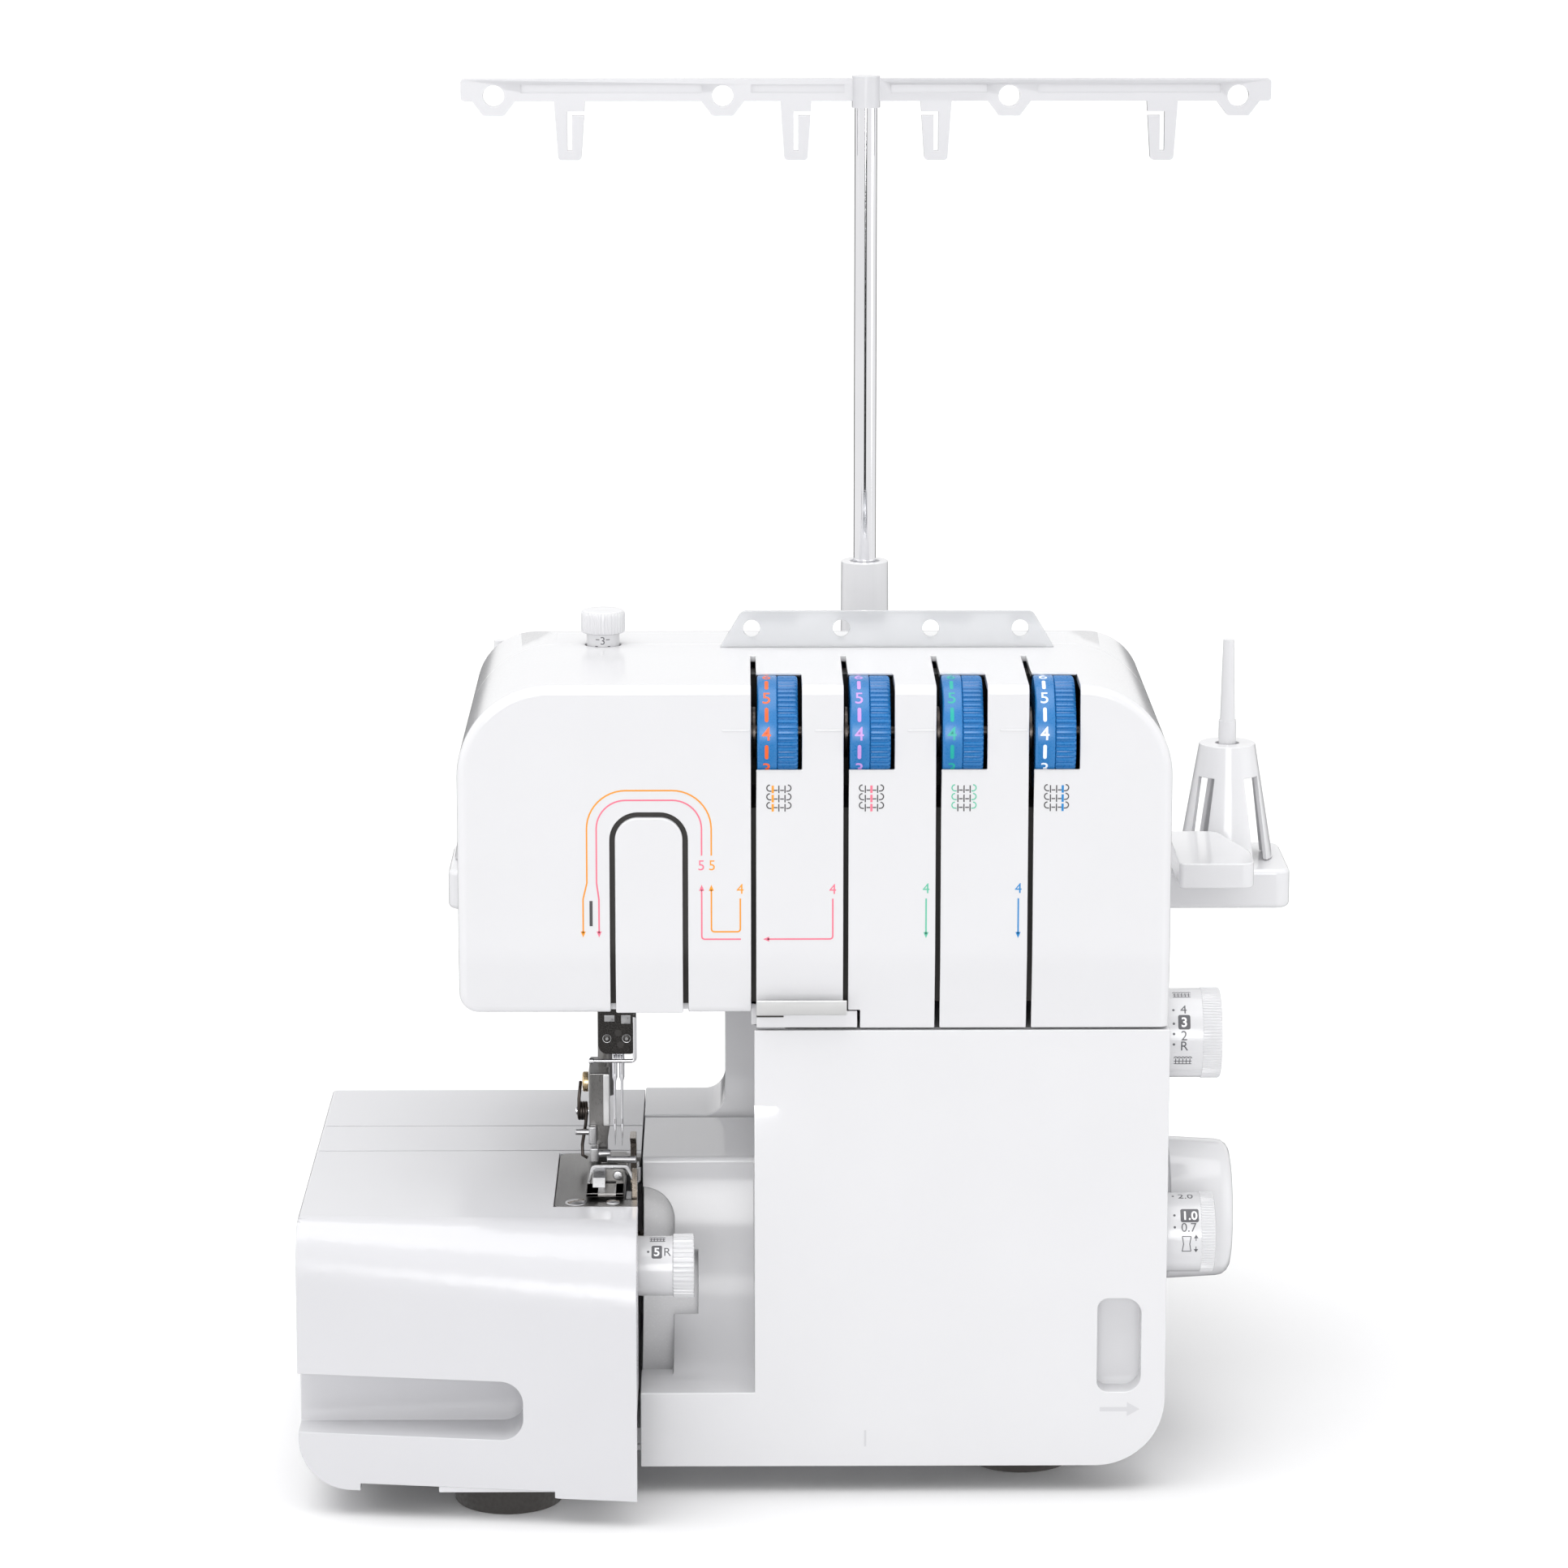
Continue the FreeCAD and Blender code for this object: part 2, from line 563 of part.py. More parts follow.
def needle_plate():
    plate = prism("z", (BED_TOP - 1.6, BED_TOP), [
        (PLATE_X[0], PLATE_Y[0], 2.0), (PLATE_X[1], PLATE_Y[0], 0),
        (PLATE_X[1], PLATE_Y[1], 0), (PLATE_X[0], PLATE_Y[1], 4.0)])
    level = (BED_TOP - 3, BED_TOP + 1)
    return cut(
        plate,
        box((-70.2, -65.0), (-92.0, -35.0), level),
        box((-75.8, -70.6), (-59.4, -54.6), level),
        box((-82.9, -79.9), (-53.0, -37.0), level),
        box((-79.1, -76.1), (-53.0, -37.0), level),
        rod("z", -87.5, -95.5, level, 1.6),
        rod("z", -75.0, -95.5, level, 1.6),
    )


def plate_screws():
    screws = []
    for x in (-87.5, -75.0):
        screw = join(
            taper("z", x, -95.5, (BED_TOP, BED_TOP + 0.9), 3.4, 2.4),
            rod("z", x, -95.5, (BED_TOP - 1.6, BED_TOP), 1.6),
        )
        screws.append(cut(screw, box((x - 4, x + 4), (-95.9, -95.1), (BED_TOP + 0.3, BED_TOP + 2))))
    return screws


# ================================ sewing mechanism ================================

def needle_bar():
    return rod("z", BAR_X, NEEDLE_Y, (172.0, 264.0), 3.2)


def needle_clamp():
    clamp = prism("y", (NEEDLE_Y - 6.5, NEEDLE_Y + 6.0), [
        (-80.8, 150.0, 4.0), (-80.8, 181.0, 1.0), (-66.0, 181.0, 1.0), (-66.0, 150.0, 4.0)])
    tools = [rod("z", BAR_X, NEEDLE_Y, (172.0, 190.0), 3.2)]
    for x in NEEDLE_XS:
        tools.append(rod("z", x, NEEDLE_Y, (140.0, 162.0), 1.0))
    for x in (-77.6, -69.2):
        tools.append(rod("y", x, 158.0, (-70.0, NEEDLE_Y - 3.0), 1.5))
    return cut(clamp, *tools)


def needle_screws():
    return [rod("y", x, 158.0, (NEEDLE_Y - 7.2, NEEDLE_Y - 3.0), 1.5) for x in (-77.6, -69.2)]


def needles():
    pair = []
    for x in NEEDLE_XS:
        pair.append(join(
            rod("z", x, NEEDLE_Y, (142.0, 162.0), 1.0),
            rod("z", x, NEEDLE_Y, (121.0, 142.0), 0.5),
            taper("z", x, NEEDLE_Y, (117.5, 121.0), 0.08, 0.5),
        ))
    return pair


def thread_wire():
    low = NEEDLE_Y - 8.4
    wire = join(
        rod("x", low, 148.6, (-83.4, -65.9), 0.8),
        rod("z", -66.8, low, (148.6, 168.0), 0.8),
        box((-67.6, -66.0), (low, NEEDLE_Y - 6.5), (164.0, 168.0)),
    )
    return wire


def presser_bar():
    return rod("z", PRESSER_X, PRESSER_Y, (128.0, 258.0), 3.0)


def presser_bracket():
    block = box((-84.0, -72.0), (-29.0, -8.0), (212.0, 219.0))
    return cut(block, rod("z", PRESSER_X, PRESSER_Y, (200.0, 230.0), 3.0))


def presser_spring():
    return sleeve("z", PRESSER_X, PRESSER_Y, (234.4, 258.0), 4.6, 3.4)


def presser_foot():
    socket = cut(box((-84.0, -73.4), (-38.0, -18.4), (128.0, 141.0)),
                 rod("z", PRESSER_X, PRESSER_Y, (120.0, 150.0), 3.0))
    ankle = prism("x", (-83.6, -76.4), [
        (-49.0, 110.0, 0), (-47.0, 139.0, 2.0), (-37.0, 141.0, 0), (-37.0, 128.0, 0), (-40.0, 110.0, 0)])
    sole = box((-84.0, -70.4), (-92.0, -36.0), (108.0, 110.2))
    toe = box((-84.0, -66.2), (-78.6, -77.0), (108.0, 117.0))
    foot = join(socket, ankle, sole, toe)
    return cut(
        foot,
        box((-76.0, -70.0), (-61.0, -52.0), (107.0, 112.0)),
        rod("y", -74.5, 113.6, (-80.0, -75.0), 1.6),
    )


def foot_spring():
    return sleeve("x", -43.0, 127.0, (-88.4, -84.2), 4.4, 1.8)


def upper_looper():
    arm = bar_between("x", (-68.8, -66.6), (LOOPER_Y, LOOPER_Z), (-42.0, 100.0), 3.6)
    finger = bar_between("x", (-68.8, -66.6), (-42.0, 100.0), (-47.0, 118.0), 2.0)
    tip = prism("x", (-68.8, -66.6), [(-46.0, 116.4, 0), (-48.0, 120.4, 0), (-60.5, 121.2, 0), (-50.0, 116.4, 0)])
    return cut(join(arm, finger, tip), rod("x", LOOPER_Y, LOOPER_Z, (-70.0, -60.0), 4.0),
               ).fuse(sleeve("x", LOOPER_Y, LOOPER_Z, (-68.8, -66.6), 6.5, 4.0))


def looper_shaft():
    return rod("x", LOOPER_Y, LOOPER_Z, (-84.0, -6.0), 4.0)


def lower_looper():
    span = (-56.4, -54.4)
    arm = bar_between("y", span, (LOWER_LOOPER_X, LOWER_LOOPER_Z), (-84.5, 92.0), 3.0)
    tip = prism("y", span, [(-87.0, 92.0, 0), (-84.0, 97.5, 0), (-76.5, 98.0, 0), (-83.0, 93.0, 0)])
    hub = rod("y", LOWER_LOOPER_X, LOWER_LOOPER_Z, (-56.4, -54.4), 6.0)
    return cut(join(arm, tip, hub), rod("y", LOWER_LOOPER_X, LOWER_LOOPER_Z, (-60.0, 0.0), 3.5))


def lower_looper_shaft():
    return rod("y", LOWER_LOOPER_X, LOWER_LOOPER_Z, (-58.0, 40.0), 3.5)


def looper_bearings():
    """Bearing blocks that carry both looper shafts inside the arm."""
    upper = cut(box((-82.0, -74.0), (-33.0, -17.0), (33.0, 80.0)),
                rod("x", LOOPER_Y, LOOPER_Z, (-90.0, -60.0), 4.0 + RUNNING))
    lower = cut(box((-95.0, -84.0), (0.0, 12.0), (33.0, 70.0)),
                rod("y", LOWER_LOOPER_X, LOWER_LOOPER_Z, (-10.0, 20.0), 3.5 + RUNNING))
    return upper, lower


def feed_dogs():
    bed = box((-83.0, -76.0), (-52.0, -38.0), (94.0, 102.5))
    rows = []
    for x in (-82.4, -78.6):
        rows.append(box((x, x + 2.0), (-52.0, -38.0), (102.5, 106.7)))
    return join(bed, *rows)


def lower_knife():
    return box((-69.6, -67.8), (-90.0, -80.0), (94.4, 106.8)).fuse(
        box((-75.0, -67.8), (-90.0, -84.0), (94.4, 97.4))).removeSplitter()


def upper_knife():
    blade = box((-67.4, -65.7), (-90.0, -80.0), (90.0, 118.0))
    return cut(blade, prism("x", (-68.0, -65.0), [(-91.0, 119.0, 0), (-79.0, 119.0, 0), (-79.0, 114.0, 0)]))


def presser_lever():
    handle = bar_between("y", (66.0, 71.0), (LEVER_X, LEVER_Z), (LEVER_X - 34.0, LEVER_Z - 4.0), 5.0)
    shaft = rod("y", LEVER_X, LEVER_Z, (-16.0, 67.0), 4.0)
    cam = rod("y", LEVER_X + 1.5, LEVER_Z, (-16.0, -8.0), 5.0)
    return join(handle, shaft, cam)


# ================================ thread tension ================================

def tension_frame():
    """Black inner frame that closes the thread slots and carries the tension units."""
    frame = prism("y", (-99.4, -48.0), [
        (-29.0, 182.2, 0), (-29.0, 293.0, 0), (111.0, 293.0, 22.0), (111.0, 182.2, 0)])
    tools = [box((-26.5, 108.5), (-97.0, -40.0), (170.0, 250.0))]
    for x in SLOT_XS:
        tools.append(box((x - 5.0, x + 18.0), (-110.0, -60.0), (252.5, 300.0)))
        tools.append(rod("x", TENSION_Y, TENSION_Z, (x - 30.0, x + 40.0), 2.5))
    return cut(frame, *tools)


def tension_shafts():
    return [rod("x", TENSION_Y, TENSION_Z, (x - 5.0, x + 18.0), 2.5) for x in SLOT_XS]


def tension_discs():
    discs = []
    for x in SLOT_XS:
        discs.append(sleeve("x", TENSION_Y, TENSION_Z, (x - 1.5, x - 0.6), 9.0, 2.5))
        discs.append(sleeve("x", TENSION_Y, TENSION_Z, (x - 0.2, x + 0.7), 9.0, 2.5))
    return discs


def tension_dial(x):
    wheel = rod("x", TENSION_Y, TENSION_Z, (x + 1.3, x + 15.6), TENSION_RADIUS)
    wheel = softened(wheel, 1.0, lambda edge: edge.BoundBox.XLength < 0.01)
    return cut(wheel, rod("x", TENSION_Y, TENSION_Z, (x, x + 20.0), 2.5 + RUNNING))


def upper_thread_guide():
    """Clear upright plate on the head, with four thread holes and a foot along its back."""
    left = SLOT_XS[0] - 12.0
    right = SLOT_XS[3] + 12.0
    plate = prism("y", (-31.2, -30.0), [
        (left, HEAD_TOP, 0), (left + 8.0, 311.0, 3.0), (right - 8.0, 311.0, 3.0), (right, HEAD_TOP, 0)])
    foot = box((left + 3.0, right - 3.0), (-30.5, HEAD_SEAM - 1.0), (HEAD_TOP, HEAD_TOP + 1.2))
    return cut(join(plate, foot), *[rod("y", x - 0.4, 304.6, (-33.0, -28.0), 3.1) for x in SLOT_XS])


def thread_clip():
    plate = box((SLOT_XS[0] + 1.0, 9.2), (HEAD_FRONT - 1.6, HEAD_FRONT - 0.6), (179.4, 184.6))
    arm = box((SLOT_XS[0] + 1.0, 9.2), (HEAD_FRONT - 1.6, HEAD_FRONT + 5.4), (178.6, 179.6))
    back = box((SLOT_XS[0] + 1.0, 13.0), (HEAD_FRONT + 4.4, HEAD_FRONT + 5.4), (173.4, 179.6))
    return join(plate, arm, back)


def pressure_dial():
    return join(
        rod("z", PRESSER_X, PRESSER_Y, (272.0, 298.0), 2.9),
        rod("z", PRESSER_X, PRESSER_Y, (297.0, 304.4), 6.0),
        rod("z", PRESSER_X, PRESSER_Y, (304.4, 310.2), 8.0),
    )


# ================================ drive ================================

def main_shaft():
    return rod("x", SHAFT_Y, SHAFT_Z, (-8.0, 140.0), 5.0)


def shaft_bushes():
    return [sleeve("x", SHAFT_Y, SHAFT_Z, span, 7.0, 5.0 + RUNNING) for span in ((-3.0, 4.0), (86.0, 93.0))]


def drive_eccentrics():
    eccentrics = []
    for x, shift in ((14.0, 4.0), (34.0, -4.0), (54.0, 3.0)):
        disc = rod("x", SHAFT_Y + shift, SHAFT_Z, (x, x + 8.0), 13.0)
        eccentrics.append(cut(disc, rod("x", SHAFT_Y, SHAFT_Z, (x - 1, x + 9), 5.0)))
    return eccentrics


def shaft_pulley():
    return sleeve("x", SHAFT_Y, SHAFT_Z, PULLEY_X, BIG_PULLEY, 5.0)


def handwheel():
    wheel = rod("x", SHAFT_Y, SHAFT_Z, WHEEL_X, WHEEL_RADIUS)
    wheel = softened(wheel, 5.0, lambda edge: lies_at(edge, "x", WHEEL_X[1]))
    hollow = rod("x", SHAFT_Y, SHAFT_Z, (WHEEL_X[0] - 1, WHEEL_X[0] + 14.0), WHEEL_RADIUS - 4.0)
    hub = rod("x", SHAFT_Y, SHAFT_Z, (WHEEL_X[0], WHEEL_X[0] + 14.5), 10.0)
    return cut(join(cut(wheel, hollow), hub), rod("x", SHAFT_Y, SHAFT_Z, (120.0, 140.0), 5.0))


def motor():
    can = rod("x", MOTOR_Y, MOTOR_Z, (26.0, 84.0), 24.0)
    boss = rod("x", MOTOR_Y, MOTOR_Z, (84.0, 88.0), 10.0)
    return cut(join(can, boss), rod("x", MOTOR_Y, MOTOR_Z, (80.0, 90.0), 4.0 + RUNNING))


def motor_mount():
    feet = [box((x, x + 8.0), (2.0, 38.0), (18.3, 34.0)) for x in (30.0, 70.0)]
    return [cut(foot, rod("x", MOTOR_Y, MOTOR_Z, (20.0, 90.0), 24.0)) for foot in feet]


def motor_spindle():
    return join(
        rod("x", MOTOR_Y, MOTOR_Z, (80.0, 110.0), 4.0),
        rod("x", MOTOR_Y, MOTOR_Z, PULLEY_X, SMALL_PULLEY),
    )


def loop_solid(gap):
    """Solid round both pulleys with straight tangent runs, the gap larger than each."""
    run = V(MOTOR_Y - SHAFT_Y, MOTOR_Z - SHAFT_Z, 0)
    distance = run.Length
    heading = math.atan2(run.y, run.x)
    lean = math.acos((BIG_PULLEY - SMALL_PULLEY) / distance)
    corners = []
    for y, z, radius, side in (
        (SHAFT_Y, SHAFT_Z, BIG_PULLEY + gap, 1), (MOTOR_Y, MOTOR_Z, SMALL_PULLEY + gap, 1),
        (MOTOR_Y, MOTOR_Z, SMALL_PULLEY + gap, -1), (SHAFT_Y, SHAFT_Z, BIG_PULLEY + gap, -1),
    ):
        angle = heading + side * lean
        corners.append((y + radius * math.cos(angle), z + radius * math.sin(angle), 0))
    return join(
        prism("x", (PULLEY_X[0] + 1, PULLEY_X[1] - 1), corners),
        rod("x", SHAFT_Y, SHAFT_Z, (PULLEY_X[0] + 1, PULLEY_X[1] - 1), BIG_PULLEY + gap),
        rod("x", MOTOR_Y, MOTOR_Z, (PULLEY_X[0] + 1, PULLEY_X[1] - 1), SMALL_PULLEY + gap),
    )


def drive_belt():
    return cut(loop_solid(2.1), loop_solid(0.3))


# ================================ dials ================================

def side_dial(y, z, radius, end):
    """Dial on the right side: barrel with a stub shaft through the casing."""
    barrel = rod("x", y, z, (HEAD_RIGHT + 0.6, end), radius)
    barrel = softened(barrel, 1.2, lambda edge: lies_at(edge, "x", end))
    return join(barrel, rod("x", y, z, (112.0, HEAD_RIGHT + 1.0), 4.0))


def dial_bearings():
    """Collars inside the right wall that the two dial shafts turn in."""
    inner = HEAD_RIGHT - WALL
    return [
        sleeve("x", y, z, (inner - 6.0, inner), 7.0, 4.0 + RUNNING)
        for y, z in ((LENGTH_Y, LENGTH_Z), (FEED_Y, FEED_Z))
    ]


def stitch_width_dial():
    return join(
        rod("x", WIDTH_Y, WIDTH_Z, (-65.0, -45.2), WIDTH_RADIUS),
        rod("x", WIDTH_Y, WIDTH_Z, (-82.0, -65.0), 3.0),
    )


def power_switch():
    rocker = prism("y", (36.8, 58.2), [(119.0, 63.6, 0), (119.0, 76.4, 0), (126.4, 75.4, 0), (125.2, 64.6, 0)])
    return join(rocker, rod("y", 119.0, 70.0, (36.8, 58.2), 2.5))


def switch_housing():
    body = box((108.4, 121.0), (35.0, 60.0), (61.0, 79.0))
    pocket = box((114.0, 122.0), (36.4, 58.6), (62.6, 77.4))
    return cut(body, pocket)


def power_inlet():
    body = box((108.4, 124.6), (34.0, 60.8), (36.4, 55.6))
    pocket = box((111.0, 126.0), (37.0, 57.8), (39.5, 52.5))
    blades = [box((110.0, 121.0), (y, y + 1.6), (43.0, 49.0)) for y in (42.4, 50.8)]
    return join(cut(body, pocket), *blades)


def work_lamp():
    return join(
        box((-104.0, -92.0), (-70.0, -56.0), (HEAD_BOTTOM + WALL, HEAD_BOTTOM + WALL + 5.0)),
        box((-102.0, -94.0), (-68.0, -58.0), (HEAD_BOTTOM + WALL + 5.0, HEAD_BOTTOM + WALL + 8.0)),
    )


# ================================ spool stand ================================

def spool_tray():
    corner = 6.0
    tray = prism("z", TRAY_Z, [
        (TRAY_X[0], TRAY_Y[0], corner), (TRAY_X[1], TRAY_Y[0], corner),
        (TRAY_X[1], TRAY_Y[1], corner), (TRAY_X[0], TRAY_Y[1], corner)])
    tray = softened(tray, 2.0, lambda edge: lies_at(edge, "z", TRAY_Z[1]) or lies_at(edge, "z", TRAY_Z[0]))
    hollow = prism("z", (TRAY_Z[0] - 1, TRAY_Z[1] - WALL), [
        (TRAY_X[0] + 3, TRAY_Y[0] + 3, 3.0), (TRAY_X[1] - 3, TRAY_Y[0] + 3, 3.0),
        (TRAY_X[1] - 3, TRAY_Y[1] - 3, 3.0), (TRAY_X[0] + 3, TRAY_Y[1] - 3, 3.0)])
    arms = [box((x, x + 22.0), (BODY_REAR, TRAY_Y[0] + 1.0), (174.0, 184.0)) for x in (-60.0, 80.0)]
    boss = rod("z", ANTENNA_X, PIN_Y, (TRAY_Z[0] + 1.0, TRAY_Z[1] - 1.0), 10.0)
    bosses = [rod("z", x, PIN_Y, (TRAY_Z[0] + 1.0, TRAY_Z[1] - 1.0), 6.0) for x in PIN_XS]
    tray = join(cut(tray, hollow), boss, *arms, *bosses)
    holes = [rod("z", x, PIN_Y, (TRAY_Z[0] + 4.0, TRAY_Z[1] + 1.0), 3.1) for x in PIN_XS]
    return cut(tray, rod("z", ANTENNA_X, PIN_Y, (TRAY_Z[0], TRAY_Z[1] + 1.0), 5.7), *holes)


def side_shelf():
    """Small shelf beside the head, on a web that stands on the tray's front edge."""
    plate = prism("z", (192.4, 202.0), [
        (138.2, 35.0, 2.0), (166.8, 35.0, 5.0), (166.8, 58.0, 14.0), (157.0, 94.0, 6.0), (138.2, 94.0, 2.0)])
    return join(plate, box((140.0, 155.0), (90.5, 93.5), (TRAY_Z[1], 193.0)))


def spool_pins():
    pins = []
    for x in PIN_XS:
        pins.append(join(
            rod("z", x, PIN_Y, (TRAY_Z[0] + 4.0, 232.0), 3.1),
            rod("z", x, PIN_Y, (232.0, 242.0), PIN_COLLAR),
            taper("z", x, PIN_Y, (242.0, 274.0), 2.9, 2.1),
        ))
    return pins


def spool_cone(x):
    """Hollow cone with four windows, standing on the tray round its pin."""
    foot = TRAY_Z[1] + 0.3
    outer = taper("z", x, PIN_Y, (foot, 233.0), 18.4, 10.9)
    inner = taper("z", x, PIN_Y, (foot - 0.1, 230.5), 16.4, 9.1)
    window = box((x - 4.0, x + 4.0), (PIN_Y, PIN_Y + 30.0), (foot - 1, 220.6))
    windows = []
    for turn in (45.0, 135.0, 225.0, 315.0):
        tool = window.copy()
        tool.rotate(V(x, PIN_Y, 0), V(0, 0, 1), turn)
        windows.append(tool)
    return cut(cut(outer, inner), rod("z", x, PIN_Y, (200.0, 240.0), 4.6), *windows)


def antenna_socket():
    return cut(taper("z", ANTENNA_X, PIN_Y, (TRAY_Z[1], SOCKET_TOP), 9.9, 9.1),
               rod("z", ANTENNA_X, PIN_Y, (180.0, 310.0), 5.7))


def antenna_lower_tube():
    return sleeve("z", ANTENNA_X, PIN_Y, (TRAY_Z[0] + 1.0, SOCKET_TOP - 1.0), 5.7, 4.3 + RUNNING)


def antenna_upper_tube():
    return sleeve("z", ANTENNA_X, PIN_Y, (277.0, 486.0), 4.3, 3.3)


def thread_guide_bar():
    low, high = GUIDE_BAR_Z
    thick = (PIN_Y - 1.6, PIN_Y + 1.6)
    ends = (ANTENNA_X - 155.0, ANTENNA_X + 155.0)
    rail = prism("y", thick, [(ends[0], low, 1.5), (ends[0], high, 1.5), (ends[1], high, 1.5), (ends[1], low, 1.5)])
    pieces = []
    for x in PIN_XS:
        pieces.append(prism("y", thick, [
            (x - 9.0, low + 1.0, 0), (x - 4.0, low - 5.6, 1.5), (x + 4.0, low - 5.6, 1.5), (x + 9.0, low + 1.0, 0)]))
    tools = [rod("y", x, low + 2.0, (PIN_Y - 5, PIN_Y + 5), 4.1) for x in PIN_XS]
    for offset in (-113.4, -26.8, 26.8, 113.4):
        x = ANTENNA_X + offset
        pieces.append(prism("y", thick, [
            (x - 6.0, low + 1.0, 0), (x - 4.4, 461.0, 1.5), (x + 4.4, 461.0, 1.5), (x + 6.0, low + 1.0, 0)]))
        side = -1.0 if offset < 0 else 1.0
        tools.append(box((x - 0.9, x + 0.9), (PIN_Y - 5, PIN_Y + 5), (464.6, 479.6)))
        tools.append(box(sorted((x - 0.9 * side, x - 8.0 * side)), (PIN_Y - 5, PIN_Y + 5), (478.0, 479.6)))
    for start, end in ((-131.9, -62.8), (-43.9, -8.3), (9.5, 46.3), (65.7, 135.5)):
        tools.append(box((ANTENNA_X + start, ANTENNA_X + end), (PIN_Y - 3, PIN_Y - 1.0), (low + 3.1, low + 6.4)))
    boss = rod("z", ANTENNA_X, PIN_Y, (481.0, 493.0), 5.4)
    bar = join(rail, *pieces, boss)
    return cut(bar, *tools, rod("z", ANTENNA_X, PIN_Y, (480.0, 486.0), 4.3 + RUNNING))


# ================================ writing ================================

def save(name, shape):
    solids = shape if isinstance(shape, (list, tuple)) else [shape]
    flat = [solid for item in solids for solid in item.Solids]
    result = flat[0] if len(flat) == 1 else Part.makeCompound(flat)
    good = all(solid.isValid() and solid.isClosed() for solid in flat)
    print(f"{name:24s} solids {len(flat):2d}  volume {sum(s.Volume for s in flat):12.1f}  ok {good}")
    result.exportStep(f"parts/{name}.step")


def main():
    os.makedirs("parts", exist_ok=True)
    pieces = {
        "head_front_casing": head_front_casing(),
        "take_up_cover": take_up_cover(),
        "take_up_liner": take_up_liner(),
        "rear_casing": rear_casing(),
        "bottom_pan": bottom_pan(),
        "rubber_feet": rubber_feet(),
        "base_frame": base_frame(),
        "arm_casting": arm_casting(),
        "front_cover": front_cover(),
        "cover_hinge_rod": cover_hinge_rod(),
        "looper_liner": looper_liner(),
        "material_plate_cover": material_plate_cover(),
        "free_arm": free_arm(),
        "needle_plate": needle_plate(),
        "plate_screws": plate_screws(),
        "needle_bar": needle_bar(),
        "needle_clamp": [needle_clamp()] + needle_screws(),
        "needles": needles(),
        "thread_wire": thread_wire(),
        "presser_bar": [presser_bar(), presser_bracket()],
        "presser_spring": presser_spring(),
        "presser_foot": presser_foot(),
        "foot_spring": foot_spring(),
        "presser_lever": presser_lever(),
        "upper_looper": [upper_looper(), looper_shaft()],
        "lower_looper": [lower_looper(), lower_looper_shaft()],
        "looper_bearings": looper_bearings(),
        "feed_dogs": feed_dogs(),
        "lower_knife": lower_knife(),
        "upper_knife": upper_knife(),
        "tension_frame": tension_frame(),
        "tension_units": tension_shafts() + tension_discs(),
        "upper_thread_guide": upper_thread_guide(),
        "thread_clip": thread_clip(),
        "pressure_dial": pressure_dial(),
        "main_shaft": [join(main_shaft(), shaft_pulley())] + drive_eccentrics(),
        "shaft_bushes": shaft_bushes() + dial_bearings(),
        "handwheel": handwheel(),
        "motor": [motor()] + motor_mount(),
        "motor_spindle": motor_spindle(),
        "drive_belt": drive_belt(),
        "stitch_length_dial": side_dial(LENGTH_Y, LENGTH_Z, LENGTH_RADIUS, 145.4),
        "differential_dial": side_dial(FEED_Y, FEED_Z, FEED_RADIUS, 143.0),
        "stitch_width_dial": stitch_width_dial(),
        "power_switch": power_switch(),
        "power_inlet": [power_inlet(), switch_housing()],
        "work_lamp": work_lamp(),
        "spool_tray": [spool_tray(), side_shelf()],
        "spool_pins": spool_pins(),
        "antenna_socket": [antenna_socket(), antenna_lower_tube()],
        "antenna_upper_tube": antenna_upper_tube(),
        "thread_guide_bar": thread_guide_bar(),
    }
    for number, x in enumerate(SLOT_XS, start=1):
        pieces[f"tension_dial_{number}"] = tension_dial(x)
    for number, x in enumerate(PIN_XS, start=1):
        pieces[f"spool_cone_{number}"] = spool_cone(x)
    for name, shape in pieces.items():
        save(name, shape)


main()
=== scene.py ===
import json
import math

import bmesh
import bpy
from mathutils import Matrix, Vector


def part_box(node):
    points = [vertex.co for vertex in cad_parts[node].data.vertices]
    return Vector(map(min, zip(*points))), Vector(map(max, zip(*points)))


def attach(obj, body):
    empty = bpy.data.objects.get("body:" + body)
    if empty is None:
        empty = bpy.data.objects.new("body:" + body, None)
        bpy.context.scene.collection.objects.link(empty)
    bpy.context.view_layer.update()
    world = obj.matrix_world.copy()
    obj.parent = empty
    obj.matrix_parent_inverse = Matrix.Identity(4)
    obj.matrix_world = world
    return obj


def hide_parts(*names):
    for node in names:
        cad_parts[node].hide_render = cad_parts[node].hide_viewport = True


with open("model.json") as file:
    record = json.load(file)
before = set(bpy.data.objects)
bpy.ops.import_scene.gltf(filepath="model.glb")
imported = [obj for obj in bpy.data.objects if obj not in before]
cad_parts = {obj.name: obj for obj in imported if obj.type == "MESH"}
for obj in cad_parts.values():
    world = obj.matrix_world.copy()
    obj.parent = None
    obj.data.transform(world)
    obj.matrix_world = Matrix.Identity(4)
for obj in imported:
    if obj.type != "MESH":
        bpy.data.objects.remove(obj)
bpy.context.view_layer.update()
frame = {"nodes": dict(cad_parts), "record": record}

MM = 0.001
NODES = frame["nodes"]
BODY_OF = {n: body for body, nodes in frame["record"]["behaviour"]["bodies"].items() for n in nodes}
SLOT_OF = {row["node"]: row["material_slot"] for row in frame["record"]["subparts"]}


def low(node):
    """A node's lowest corner in millimetres."""
    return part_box(node)[0] / MM


def high(node):
    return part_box(node)[1] / MM


def middle(node):
    return (low(node) + high(node)) / 2


